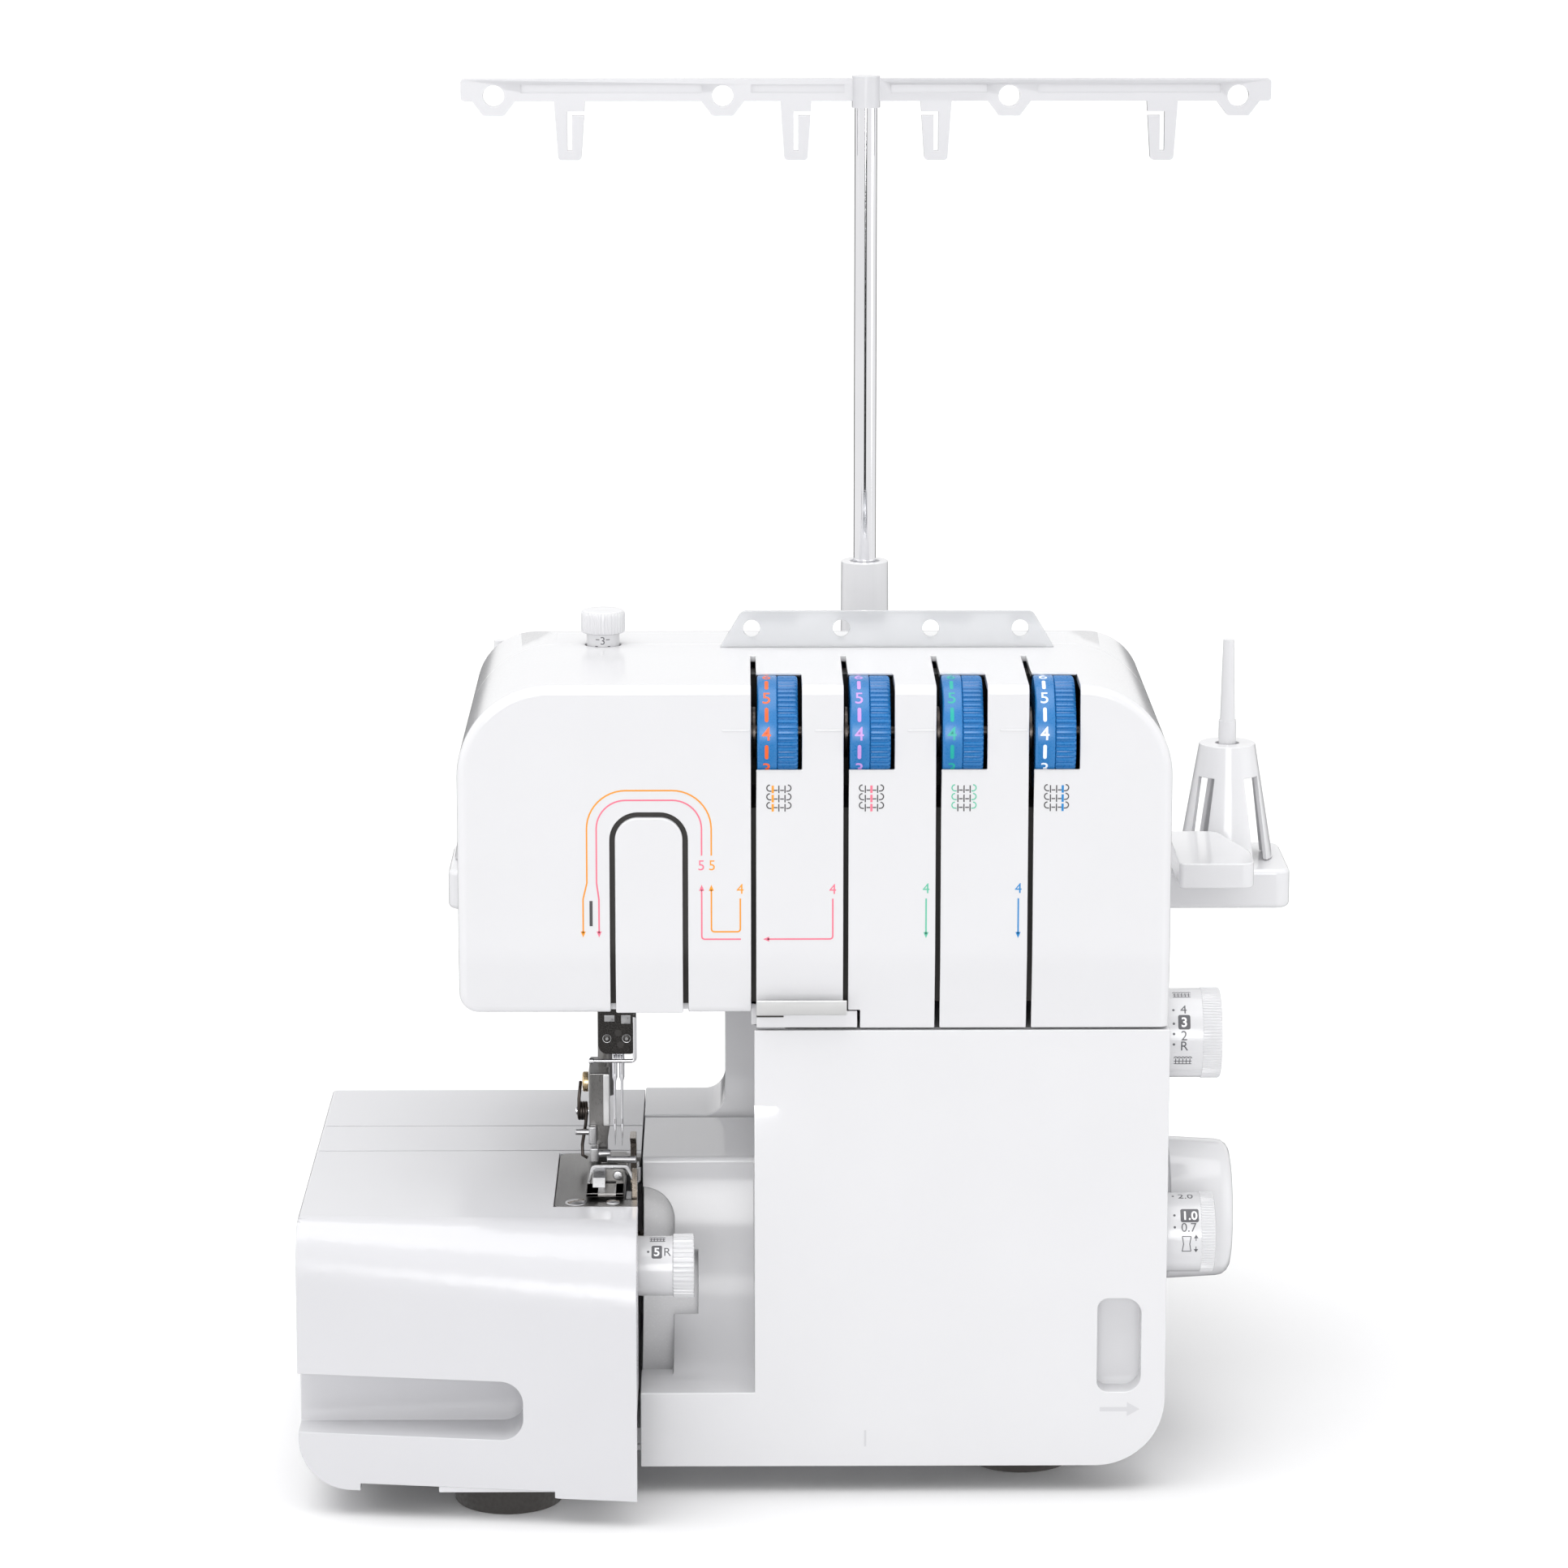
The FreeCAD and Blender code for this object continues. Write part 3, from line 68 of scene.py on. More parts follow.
# ---- driving positions, millimetres, all read from the frame --------------------------
HEAD_FRONT = low("take_up_cover").y
HEAD_TOP = high("head_front_casing").z
COVER_FRONT = low("front_cover").y
INDEX_Z = HEAD_TOP - 16.1
DIAL_SIDE = high("head_front_casing").x + 0.3      # where the barrels of the right-hand dials come out
FIRST_SLOT = low("tension_dial_1").x - 1.3
SLOT_XS = [low(f"tension_dial_{n}").x - 1.3 for n in (1, 2, 3, 4)]
TENSION_CENTRE = middle("tension_dial_1")
TENSION_RADIUS = high("tension_dial_1").z - TENSION_CENTRE.z
ARCH_X = middle("take_up_cover").x
ARCH_HALF = high("take_up_cover").x - ARCH_X + 1.9
ARCH_TOP = high("take_up_cover").z + 1.9
NEEDLE_X = middle("needles").x
NEEDLE_Y = middle("needles").y
PRESSER_LEFT = low("presser_foot").x + 0.2
PROUD = 0.05            # how far a printed mark stands above its surface
SUNK = 0.12             # how far its back lies below it


# ================================ materials ================================

def shader(name):
    made = bpy.data.materials.new(name)
    made.use_nodes = True
    tree = made.node_tree
    return made, tree.nodes, tree.links, tree.nodes["Principled BSDF"]


def noise(nodes, links, scale, detail=3.0, stretch=(1, 1, 1)):
    """Noise in object space, its grain squeezed along the axes with a factor over 1."""
    place = nodes.new("ShaderNodeTexCoord")
    mapping = nodes.new("ShaderNodeMapping")
    mapping.inputs["Scale"].default_value = stretch
    texture = nodes.new("ShaderNodeTexNoise")
    texture.inputs["Scale"].default_value = scale
    texture.inputs["Detail"].default_value = detail
    links.new(place.outputs["Object"], mapping.inputs["Vector"])
    links.new(mapping.outputs["Vector"], texture.inputs["Vector"])
    return texture.outputs["Fac"]


def spread(nodes, links, value, start, end):
    """A noise value mapped to a range."""
    ranged = nodes.new("ShaderNodeMapRange")
    ranged.inputs["From Min"].default_value = 0.3
    ranged.inputs["From Max"].default_value = 0.7
    ranged.inputs["To Min"].default_value = start
    ranged.inputs["To Max"].default_value = end
    links.new(value, ranged.inputs["Value"])
    return ranged.outputs["Result"]


def tinted(nodes, links, value, colour, change):
    """A colour that drifts between a darker and a lighter one."""
    mix = nodes.new("ShaderNodeMix")
    mix.data_type = "RGBA"
    mix.inputs["A"].default_value = (*[c * (1 - change) for c in colour], 1)
    mix.inputs["B"].default_value = (*[min(1, c * (1 + change)) for c in colour], 1)
    links.new(spread(nodes, links, value, 0, 1), mix.inputs["Factor"])
    return mix.outputs["Result"]


def bumped(nodes, links, value, strength, distance):
    bump = nodes.new("ShaderNodeBump")
    bump.inputs["Strength"].default_value = strength
    bump.inputs["Distance"].default_value = distance
    links.new(value, bump.inputs["Height"])
    return bump.outputs["Normal"]


def finish_of(name, colour, rough, metal=0.0, drift=0.02, grain=(900, 0.08, 0.00002), stretch=(1, 1, 1),
              clear=0.0, anisotropic=0.0, ior=1.5):
    """Material with a drifting colour, an uneven roughness and a fine surface grain."""
    made, nodes, links, base = shader(name)
    wide = noise(nodes, links, 28, 2.0, stretch)
    fine = noise(nodes, links, grain[0], 4.0, stretch)
    links.new(tinted(nodes, links, wide, colour, drift), base.inputs["Base Color"])
    links.new(spread(nodes, links, fine, rough[0], rough[1]), base.inputs["Roughness"])
    links.new(bumped(nodes, links, fine, grain[1], grain[2]), base.inputs["Normal"])
    base.inputs["Metallic"].default_value = metal
    base.inputs["IOR"].default_value = ior
    base.inputs["Transmission Weight"].default_value = clear
    base.inputs["Anisotropic"].default_value = anisotropic
    return made


WHITE = finish_of("white_gloss_plastic", (0.665, 0.665, 0.68), (0.12, 0.17), drift=0.006,
                  grain=(1400, 0.05, 0.00001))
# A darker copy of the white plastic that paints shade. It darkens the block cover, the block's closed end,
# the front cover's raised marks and the thread guide bar.
SHADED_WHITE = finish_of("white_plastic_painted_shade", (0.57, 0.57, 0.59), (0.13, 0.19), drift=0.006,
                       grain=(1400, 0.05, 0.00001))
INNER = finish_of("inner_plastic", (0.70, 0.70, 0.72), (0.4, 0.55), drift=0.02)
BLACK = finish_of("black_plastic", (0.018, 0.015, 0.013), (0.35, 0.5), drift=0.2)
OXIDE = finish_of("black_oxide_metal", (0.022, 0.019, 0.017), (0.2, 0.34), metal=0.5, drift=0.2,
                  grain=(2600, 0.06, 0.00001), ior=1.8)
BLUE = finish_of("blue_plastic", (0.015, 0.158, 0.42), (0.24, 0.34), drift=0.05, grain=(1100, 0.1, 0.00003))
CLEAR = finish_of("milky_clear_plastic", (0.70, 0.71, 0.73), (0.08, 0.14), drift=0.005, clear=0.35)
STEEL = finish_of("brushed_steel", (0.50, 0.50, 0.51), (0.25, 0.4), metal=1.0, drift=0.06,
                  grain=(700, 0.25, 0.00003), stretch=(1, 8, 1), anisotropic=0.4)
PLATE = finish_of("needle_plate_steel", (0.225, 0.22, 0.215), (0.26, 0.36), metal=1.0, drift=0.1,
                  grain=(900, 0.2, 0.00002), stretch=(9, 1, 1), anisotropic=0.4)
# A lighter copy of the white plastic that paints light. It lifts the shaded looper liner in its cavity and
# draws a highlight on the thread clip's rim.
LIT_WHITE = finish_of("white_plastic_painted_light", (0.86, 0.86, 0.875), (0.2, 0.3), drift=0.006,
                   grain=(1400, 0.05, 0.00001))
CLIP = finish_of("clip_steel", (0.72, 0.72, 0.72), (0.3, 0.42), metal=1.0, drift=0.05,
                 grain=(1500, 0.35, 0.00004), stretch=(1, 1, 6), anisotropic=0.3)
CHROME = finish_of("polished_steel", (0.80, 0.80, 0.82), (0.04, 0.09), metal=1.0, drift=0.02,
                   grain=(1500, 0.03, 0.00001))
# Dark steel: the spring's own blackened steel, and painted shade on the tension units.
DARK_STEEL_AND_SHADE = finish_of("dark_spring_steel_and_painted_shade", (0.07, 0.06, 0.055), (0.25, 0.4), metal=1.0, drift=0.25)
BRONZE = finish_of("golden_steel", (0.27, 0.235, 0.20), (0.2, 0.35), metal=1.0, drift=0.15)
BRASS = finish_of("brass", (0.60, 0.46, 0.27), (0.22, 0.34), metal=1.0, drift=0.1)
ALLOY = finish_of("cast_aluminium", (0.55, 0.56, 0.57), (0.42, 0.6), metal=1.0, drift=0.08,
                  grain=(450, 0.4, 0.0001))
RUBBER = finish_of("rubber", (0.025, 0.022, 0.02), (0.5, 0.7), drift=0.2, grain=(700, 0.3, 0.00006))
LENS = finish_of("lamp_lens", (0.90, 0.88, 0.80), (0.15, 0.25), drift=0.02, clear=0.35)


def ink(name, colour):
    return finish_of("ink_" + name, colour, (0.32, 0.42), drift=0.04, grain=(1500, 0.05, 0.00001))


DARK = ink("dark", (0.060, 0.056, 0.060))
GREY = ink("grey", (0.10, 0.10, 0.11))
ORANGE = ink("orange", (0.80, 0.29, 0.012))
PINK = ink("pink", (0.76, 0.16, 0.24))
GREEN = ink("green", (0.10, 0.48, 0.32))
BLUE_INK = ink("blue", (0.004, 0.20, 0.50))
PALE_INK = ink("white", (0.86, 0.86, 0.88))
DIAL_INKS = (
    ink("dial_orange", (0.82, 0.11, 0.012)),
    ink("dial_lilac", (0.50, 0.27, 0.66)),
    ink("dial_teal", (0.0, 0.37, 0.31)),
    ink("dial_white", (0.72, 0.78, 0.88)),
)

SLOT_FINISH = {
    "white_plastic": WHITE, "inner_plastic": INNER, "black_plastic": BLACK, "black_metal": OXIDE,
    "blue_plastic": BLUE, "clear_plastic": CLEAR, "steel": STEEL, "polished_steel": CHROME,
    "spring_steel": DARK_STEEL_AND_SHADE, "aluminium": ALLOY, "rubber": RUBBER, "brass": BRASS, "lamp": LENS,
}


# ================================ mesh helpers ================================

def piece(name, bm, finish, like, bevel=0.0, segments=2, angle=30.0):
    """Scene object from a bmesh in millimetres.  It rides as the node `like` does."""
    bmesh.ops.recalc_face_normals(bm, faces=bm.faces)
    bmesh.ops.scale(bm, vec=(MM, MM, MM), verts=bm.verts)
    mesh = bpy.data.meshes.new(name)
    bm.to_mesh(mesh)
    bm.free()
    item = bpy.data.objects.new(name, mesh)
    bpy.context.scene.collection.objects.link(item)
    mesh.materials.append(finish)
    mesh.polygons.foreach_set("use_smooth", [True] * len(mesh.polygons))
    if bevel:
        softened(item, bevel, segments, angle)
    else:
        mesh.set_sharp_from_angle(angle=math.radians(angle))
    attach(item, BODY_OF[like])
    return item


def softened(item, bevel, segments, angle):
    """Real rounded edges on a hard-edged mesh."""
    rounding = item.modifiers.new("round", "BEVEL")
    rounding.width = bevel * MM
    rounding.segments = segments
    rounding.limit_method = "ANGLE"
    rounding.angle_limit = math.radians(angle)
    rounding.use_clamp_overlap = False
    weighted = item.modifiers.new("weighted", "WEIGHTED_NORMAL")
    weighted.keep_sharp = True


def refined(node, bevel=0.4, segments=2, finish=None):
    """A node's own shape as clean faces with rounded edges, standing for the node."""
    bm = bmesh.new()
    bm.from_mesh(NODES[node].data)
    bmesh.ops.remove_doubles(bm, verts=bm.verts, dist=1e-6)
    bmesh.ops.dissolve_limit(bm, angle_limit=math.radians(0.4), verts=bm.verts, edges=bm.edges)
    bmesh.ops.scale(bm, vec=(1 / MM, 1 / MM, 1 / MM), verts=bm.verts)
    item = piece(node + "_finished", bm, finish or SLOT_FINISH[SLOT_OF[node]], node, bevel, segments)
    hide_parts(node)
    return item


def extruded(bm, axis, span, outline):
    """Adds a prism: a closed (u, v) outline across an axis, pulled along it."""
    spots = {
        "x": lambda u, v, w: (w, u, v),
        "y": lambda u, v, w: (u, w, v),
        "z": lambda u, v, w: (u, v, w),
    }[axis]
    first = [bm.verts.new(spots(u, v, span[0])) for u, v in outline]
    last = [bm.verts.new(spots(u, v, span[1])) for u, v in outline]
    bm.faces.new(first)
    bm.faces.new(last[::-1])
    for i, corner in enumerate(first):
        j = (i + 1) % len(first)
        bm.faces.new((corner, first[j], last[j], last[i]))


def block(bm, x, y, z):
    extruded(bm, "z", z, [(x[0], y[0]), (x[1], y[0]), (x[1], y[1]), (x[0], y[1])])


def arc(u, v, radius, start, end, steps=12):
    """Points of an arc in degrees, anticlockwise from +u."""
    angles = [math.radians(start + (end - start) * k / steps) for k in range(steps + 1)]
    return [(u + radius * math.cos(a), v + radius * math.sin(a)) for a in angles]


def lathe(bm, axis, centre, profile, ribs=None, count=96):
    """Adds a turned body from (level, radius) rings.  ribs: (from, to, number, depth) of grooves."""
    steps = ribs[2] * 6 if ribs else count
    wave = (0.0, 0.0, 0.0, 0.8, 1.0, 0.8)
    rings = []
    for level, radius in profile:
        cutting = ribs[3] if ribs and ribs[0] <= level <= ribs[1] else 0.0
        ring = []
        for k in range(steps):
            angle = 2 * math.pi * k / steps
            size = radius - cutting * wave[k % 6]
            u, v = centre[0] + size * math.cos(angle), centre[1] + size * math.sin(angle)
            ring.append(bm.verts.new({"x": (level, u, v), "y": (u, level, v), "z": (u, v, level)}[axis]))
        rings.append(ring)
    for ring, after in zip(rings, rings[1:]):
        for k in range(steps):
            j = (k + 1) % steps
            bm.faces.new((ring[k], ring[j], after[j], after[k]))
    bm.faces.new(rings[0][::-1])
    bm.faces.new(rings[-1])


def rounded_end(level, radius, edge, side):
    """Rings that round a rim off: side is 1 where the body ends at `level`, -1 where it starts."""
    rings = []
    for degrees in (90, 65, 40, 20, 0):
        inward = edge * (1 - math.cos(math.radians(degrees)))
        rings.append((level - side * inward, radius - edge * (1 - math.sin(math.radians(degrees)))))
    return rings if side > 0 else rings[::-1]


def tube(bm, points, radius, count=12):
    """Adds a round wire through points."""
    points = [Vector(point) for point in points]
    rings = []
    up = None
    for i, point in enumerate(points):
        along = (points[min(i + 1, len(points) - 1)] - points[max(i - 1, 0)]).normalized()
        if up is None:
            up = along.orthogonal()
        up = (up - along * up.dot(along)).normalized()
        side = along.cross(up)
        turn = 2 * math.pi / count
        ring = [point + (up * math.cos(turn * k) + side * math.sin(turn * k)) * radius for k in range(count)]
        rings.append([bm.verts.new(spot) for spot in ring])
    for ring, after in zip(rings, rings[1:]):
        for k in range(count):
            j = (k + 1) % count
            bm.faces.new((ring[k], ring[j], after[j], after[k]))
    bm.faces.new(rings[0][::-1])
    bm.faces.new(rings[-1])


# ================================ printed marks ================================

def flat(bm, outline):
    """Adds a flat (u, v) face for a printed mark."""
    bm.faces.new([bm.verts.new((u, v, 0)) for u, v in outline])


def upright(bm, u, v):
    """Adds a filled rectangle between two u and two v values."""
    flat(bm, [(u[0], v[0]), (u[1], v[0]), (u[1], v[1]), (u[0], v[1])])


def disc(bm, u, v, radius):
    flat(bm, arc(u, v, radius, 0, 360, 20)[:-1])


def stroke(bm, points, width):
    """Adds a line of even width through (u, v) points."""
    spots = [Vector(point) for point in points]
    sides = []
    for i, spot in enumerate(spots):
        before = (spot - spots[i - 1]).normalized() if i else (spots[1] - spot).normalized()
        after = (spots[i + 1] - spot).normalized() if i + 1 < len(spots) else before
        across = Vector((-before.y - after.y, before.x + after.x)).normalized()
        reach = width / 2 / max(0.3, across.dot(Vector((-before.y, before.x))))
        one, two = spot + across * reach, spot - across * reach
        sides.append((bm.verts.new((one.x, one.y, 0)), bm.verts.new((two.x, two.y, 0))))
    for (a, b), (c, d) in zip(sides, sides[1:]):
        bm.faces.new((a, b, d, c))


def arrowhead(bm, u, v, direction):
    """Adds a filled triangle whose tip is at (u, v)."""
    along = Vector(direction).normalized()
    across = Vector((-along.y, along.x))
    tip = Vector((u, v))
    base = tip - along * 2.2
    flat(bm, [tuple(tip), tuple(base + across * 0.9), tuple(base - across * 0.9)])


def figures(bm, words, u, v, height, weight=0.0):
    """Adds plain figures centred at (u, v)."""
    curve = bpy.data.curves.new("figures", "FONT")
    curve.body = words
    curve.size = height / 0.73
    curve.align_x = "CENTER"
    curve.align_y = "CENTER"
    curve.offset = weight
    curve.resolution_u = 4
    holder = bpy.data.objects.new("figures", curve)
    bpy.context.scene.collection.objects.link(holder)
    bpy.context.view_layer.update()
    mesh = bpy.data.meshes.new_from_object(holder.evaluated_get(bpy.context.evaluated_depsgraph_get()))
    bpy.data.objects.remove(holder)
    centre = (max(spot.co.y for spot in mesh.vertices) + min(spot.co.y for spot in mesh.vertices)) / 2
    spots = [bm.verts.new((u + spot.co.x, v + spot.co.y - centre, 0)) for spot in mesh.vertices]
    for face in mesh.polygons:
        bm.faces.new([spots[k] for k in face.vertices])
    bpy.data.meshes.remove(mesh)


def printed(name, bm, finish, like, place, step=0.0):
    """Turns flat (u, v) faces into a thin closed mark that lies on a surface."""
    if step:
        heights = [vertex.co.y for vertex in bm.verts]
        for k in range(1, int((max(heights) - min(heights)) / step) + 1):
            geometry = bm.verts[:] + bm.edges[:] + bm.faces[:]
            spot = (0, min(heights) + k * step, 0)
            bmesh.ops.bisect_plane(bm, geom=geometry, plane_co=spot, plane_no=(0, 1, 0))
    raised = bmesh.ops.extrude_face_region(bm, geom=bm.faces[:], use_keep_orig=True)["geom"]
    for vertex in [item for item in raised if isinstance(item, bmesh.types.BMVert)]:
        vertex.co.z = 1.0
    for vertex in bm.verts:
        lift = PROUD if vertex.co.z > 0.5 else -SUNK
        vertex.co = place(vertex.co.x, vertex.co.y, lift)
    return piece(name, bm, finish, like)


def along(radius, degrees):
    """Arc length on a barrel."""
    return radius * math.radians(degrees)


def on_front(level):
    """A place on an upright face that looks to the front."""
    return lambda u, v, lift: (u, level - lift, v)


def on_barrel(y, z, radius):
    """A place on a barrel along X: v is the arc length up from its front."""
    def place(u, v, lift):
        size = radius + lift
        return (u, y - size * math.cos(v / radius), z + size * math.sin(v / radius))
    return place


# ================================ casings ================================

for casing, edge in (
    ("head_front_casing", 0.4), ("take_up_cover", 0.6), ("rear_casing", 0.5), ("front_cover", 0.35),
    ("bottom_pan", 0.4), ("spool_tray", 0.5),
    ("antenna_socket", 0.4), ("presser_lever", 0.6), ("upper_thread_guide", 0.2),
    ("power_switch", 0.4), ("power_inlet", 0.3), ("work_lamp", 0.4),
    ("arm_casting", 0.6), ("rubber_feet", 0.8), ("motor", 0.6),
):
    refined(casing, edge, 3 if edge > 0.45 else 2)
# The block cover takes the darker white: painted shade.
refined("material_plate_cover", 0.35, 3, SHADED_WHITE)
# The looper liner takes the lighter white: painted light against the shade of its cavity.
refined("looper_liner", 0.3, 2, LIT_WHITE)
refined("needle_plate", 0.1, 1, PLATE)
refined("free_arm", 0.4, 2, WHITE)
refined("thread_guide_bar", 0.0, 2, SHADED_WHITE)
for number in (1, 2, 3, 4):
    refined(f"spool_cone_{number}", 0.35, 2)

# The tension units are drawn in dark steel instead of polished steel: painted shade in the slots that show
# them.
OTHER_FINISH = {
    "tension_units": DARK_STEEL_AND_SHADE, "upper_looper": BRONZE, "upper_knife": BRONZE,
    "presser_bar": PLATE, "base_frame": WHITE,
}
for node in NODES:
    NODES[node].data.materials.clear()
    NODES[node].data.materials.append(OTHER_FINISH.get(node, SLOT_FINISH[SLOT_OF[node]]))


def block_side():
    """Closes the open right end of the block cover in front of the needle plate.

    Its top front follows the cover's own round, a Bezier curve, one millimetre inside it.
    """
    node = "material_plate_cover"
    right, top = high(node).x - 0.1, high(node).z
    front, back = low(node).y, low("free_arm").y - 0.8
    bottom, inset, thick = 40.0, 1.0, 1.0
    rise, run, pull = top - 78.0, 25.0, 0.45
    steps = 8
    bend = []
    for k in range(steps + 1):
        t = k / steps
        a, b, c, d = (1 - t) ** 3, 3 * t * (1 - t) ** 2, 3 * t * t * (1 - t), t ** 3
        y = front + run * (pull * c + d)
        z = top - rise * (a + pull * b)
        bend.append((y + inset, z - inset))
    bm = bmesh.new()
    outline = [(front + inset, bottom)] + bend + [(back, top - inset), (back, bottom)]
    extruded(bm, "x", (right - thick, right), outline)
    # The closed end takes the darker white too: painted shade.
    piece("block_side", bm, SHADED_WHITE, node, 0.1)


block_side()


# ================================ tension dials ================================

def tension_dial(number):
    """Blue thumb wheel: a smooth band with figures at the left, ribs at the right."""
    node = f"tension_dial_{number}"
    start, end = low(node).x, high(node).x
    y, z, radius = TENSION_CENTRE.y, TENSION_CENTRE.z, TENSION_RADIUS
    band, bore = start + 6.9, 3.0
    profile = [(start, bore)] + rounded_end(start, radius, 0.8, -1) + rounded_end(band, radius, 0.3, 1)
    profile += [(band + 0.15, radius - 0.75)]
    profile += rounded_end(band + 0.3, radius - 0.1, 0.3, -1)[1:]
    profile += rounded_end(end, radius - 0.1, 1.2, 1) + [(end, bore)]
    bm = bmesh.new()
    lathe(bm, "x", (y, z), profile, ribs=(band + 0.2, end - 0.1, 62, 0.7))
    wheel = piece(node + "_wheel", bm, BLUE, node)
    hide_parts(node)
    marks = bmesh.new()
    middle_x = start + 3.3
    pitch, shown, shown_at = 38.3, 4, 9.4      # degrees between figures, the figure in the window, its angle
    for figure in range(0, 10):
        degrees = shown_at + pitch * (figure - shown)
        if degrees > 180:
            continue
        figures(marks, str(figure), middle_x, radius * math.radians(degrees), 5.0, 0.03)
    for gap in range(-4, 5):
        first = radius * math.radians(21.0 + pitch * gap)
        last = radius * math.radians(36.3 + pitch * gap)
        cap = 0.65
        flat(marks, arc(middle_x, last - cap, cap, 0, 180, 6) + arc(middle_x, first + cap, cap, 180, 360, 6))
    printed(node + "_figures", marks, DIAL_INKS[number - 1], node, on_barrel(y, z, radius), step=1.2)


for number in (1, 2, 3, 4):
    tension_dial(number)


# ================================ marks on the head ================================

LINE = 0.55


def thread_paths():
    """Orange and pink threading lines with their arrows, worked out round the arch."""
    level = on_front(HEAD_FRONT)
    foot_z = ARCH_TOP - 45.0
    knee = foot_z + 13.8
    fork = knee + 5.9
    right_end = ARCH_TOP - 15.5
    for name, finish, outer, arc_radius, out_left, top in (
        ("orange", ORANGE, ARCH_HALF + 8.0, 13.8, -1.4, 7.9),
        ("pink", PINK, ARCH_HALF + 4.6, 10.3, 0.8, 4.4),
    ):
        left, right = ARCH_X - outer, ARCH_X + outer + 0.2
        crest = ARCH_TOP + top
        bm = bmesh.new()
        path = [(left + out_left, foot_z + 1.6), (left + out_left, knee), (left, fork)]
        path += arc(left + arc_radius, crest - arc_radius, arc_radius, 180, 90)
        path += arc(right - arc_radius, crest - arc_radius, arc_radius, 90, 0)
        path += [(right, right_end)]
        stroke(bm, path, LINE)
        arrowhead(bm, left + out_left, foot_z, (0, -1))
        printed(f"thread_path_{name}", bm, finish, "head_front_casing", level)
    low_z = foot_z - 0.7
    orange_x, pink_x = ARCH_X + ARCH_HALF + 8.2, ARCH_X + ARCH_HALF + 4.8
    up = foot_z + 19.0
    start = FIRST_SLOT - 4.7
    bm = bmesh.new()
    stroke(bm, [(start, up - 5.0)] + arc(start - 1.0, low_z + 3.7, 1.0, 0, -90, 4)
           + arc(orange_x + 1.0, low_z + 3.7, 1.0, 270, 180, 4) + [(orange_x, up - 1.8)], LINE)
    arrowhead(bm, orange_x, up, (0, 1))
    figures(bm, "4", start, up - 1.5, 3.8)
    figures(bm, "5", orange_x + 0.3, right_end - 3.5, 3.8)
    printed("thread_turn_orange", bm, ORANGE, "head_front_casing", level)
    bm = bmesh.new()
    stroke(bm, [(start + 0.2, low_z)] + arc(pink_x + 1.0, low_z + 1.0, 1.0, 270, 180, 4)
           + [(pink_x, up - 1.8)], LINE)
    arrowhead(bm, pink_x, up, (0, 1))
    figures(bm, "5", pink_x - 0.1, right_end - 3.5, 3.8)
    second = SLOT_XS[1] - 4.6
    stroke(bm, [(second, up - 5.1)] + arc(second - 1.0, low_z + 1.0, 1.0, 0, -90, 4)
           + [(FIRST_SLOT + 4.9, low_z)], LINE)
    arrowhead(bm, FIRST_SLOT + 3.3, low_z, (-1, 0))
    figures(bm, "4", second, up - 1.6, 3.8)
    printed("thread_turn_pink", bm, PINK, "head_front_casing", level)
    for name, finish, slot in (("green", GREEN, SLOT_XS[2]), ("blue", BLUE_INK, SLOT_XS[3])):
        bm = bmesh.new()
        x = slot - 4.2
        stroke(bm, [(x, up - 5.1), (x, low_z + 1.8)], LINE)
        arrowhead(bm, x, low_z + 0.2, (0, -1))
        figures(bm, "4", x, up - 1.4, 3.8)
        printed(f"thread_arrow_{name}", bm, finish, "head_front_casing", level)
    bm = bmesh.new()
    x = ARCH_X - ARCH_HALF - 6.6
    upright(bm, (x - 0.55, x + 0.55), (foot_z + 4.1, foot_z + 13.2))
    printed("guide_bar_mark", bm, DARK, "head_front_casing", level)


def stitch_icon(bm, accent, x, z, coloured):
    """Stitch picture: three thread columns crossed by two looper threads, one part coloured."""
    wide, tall, width = 8.9, 10.4, 0.42
    columns = {"left": x - 2.15, "middle": x, "right": x + 2.15}
    for name, column in columns.items():
        target = accent if coloured == name else bm
        heavy = 0.8 if coloured == name else width
        for k in range(3):
            low_z = z - tall / 2 + 0.6 + k * 3.3
            stroke(target, [(column, low_z), (column, low_z + 2.7)], heavy)
    loops = accent if coloured == "loops" else bm
    for k in range(3):
        level = z - tall / 2 + 2.0 + k * 3.1
        for side in (-1, 1):
            far = x + side * (wide / 2 - 1.3)
            bend = arc(far, level + 0.8, 1.1, -90 if side > 0 else 270, 90, 8)
            stroke(loops, bend, width)
            stroke(loops, [bend[0], (x + side * 2.6, bend[0][1])], width)
        for start in (-1.75, 0.45):
            stroke(bm, [(x + start, level), (x + start + 1.3, level)], width)


def stitch_icons():
    level = on_front(HEAD_FRONT)
    for number, (coloured, finish) in enumerate((
        ("left", ORANGE), ("middle", PINK), ("loops", GREEN), ("right", BLUE_INK),
    )):
        plain, accent = bmesh.new(), bmesh.new()
        stitch_icon(plain, accent, SLOT_XS[number] + 8.9, HEAD_TOP - 40.2, coloured)
        printed(f"stitch_icon_{number + 1}", plain, DARK, "head_front_casing", level)
        printed(f"stitch_icon_{number + 1}_thread", accent, finish, "head_front_casing", level)


def index_lines():
    """Raised line that marks each tension dial's reading."""
    for number, slot in enumerate(SLOT_XS, start=1):
        bm = bmesh.new()
        block(bm, (slot - 11.0, slot - 1.3), (HEAD_FRONT - 0.25, HEAD_FRONT + 0.3), (INDEX_Z, INDEX_Z + 0.6))
        piece(f"index_line_{number}", bm, WHITE, "head_front_casing", 0.15)


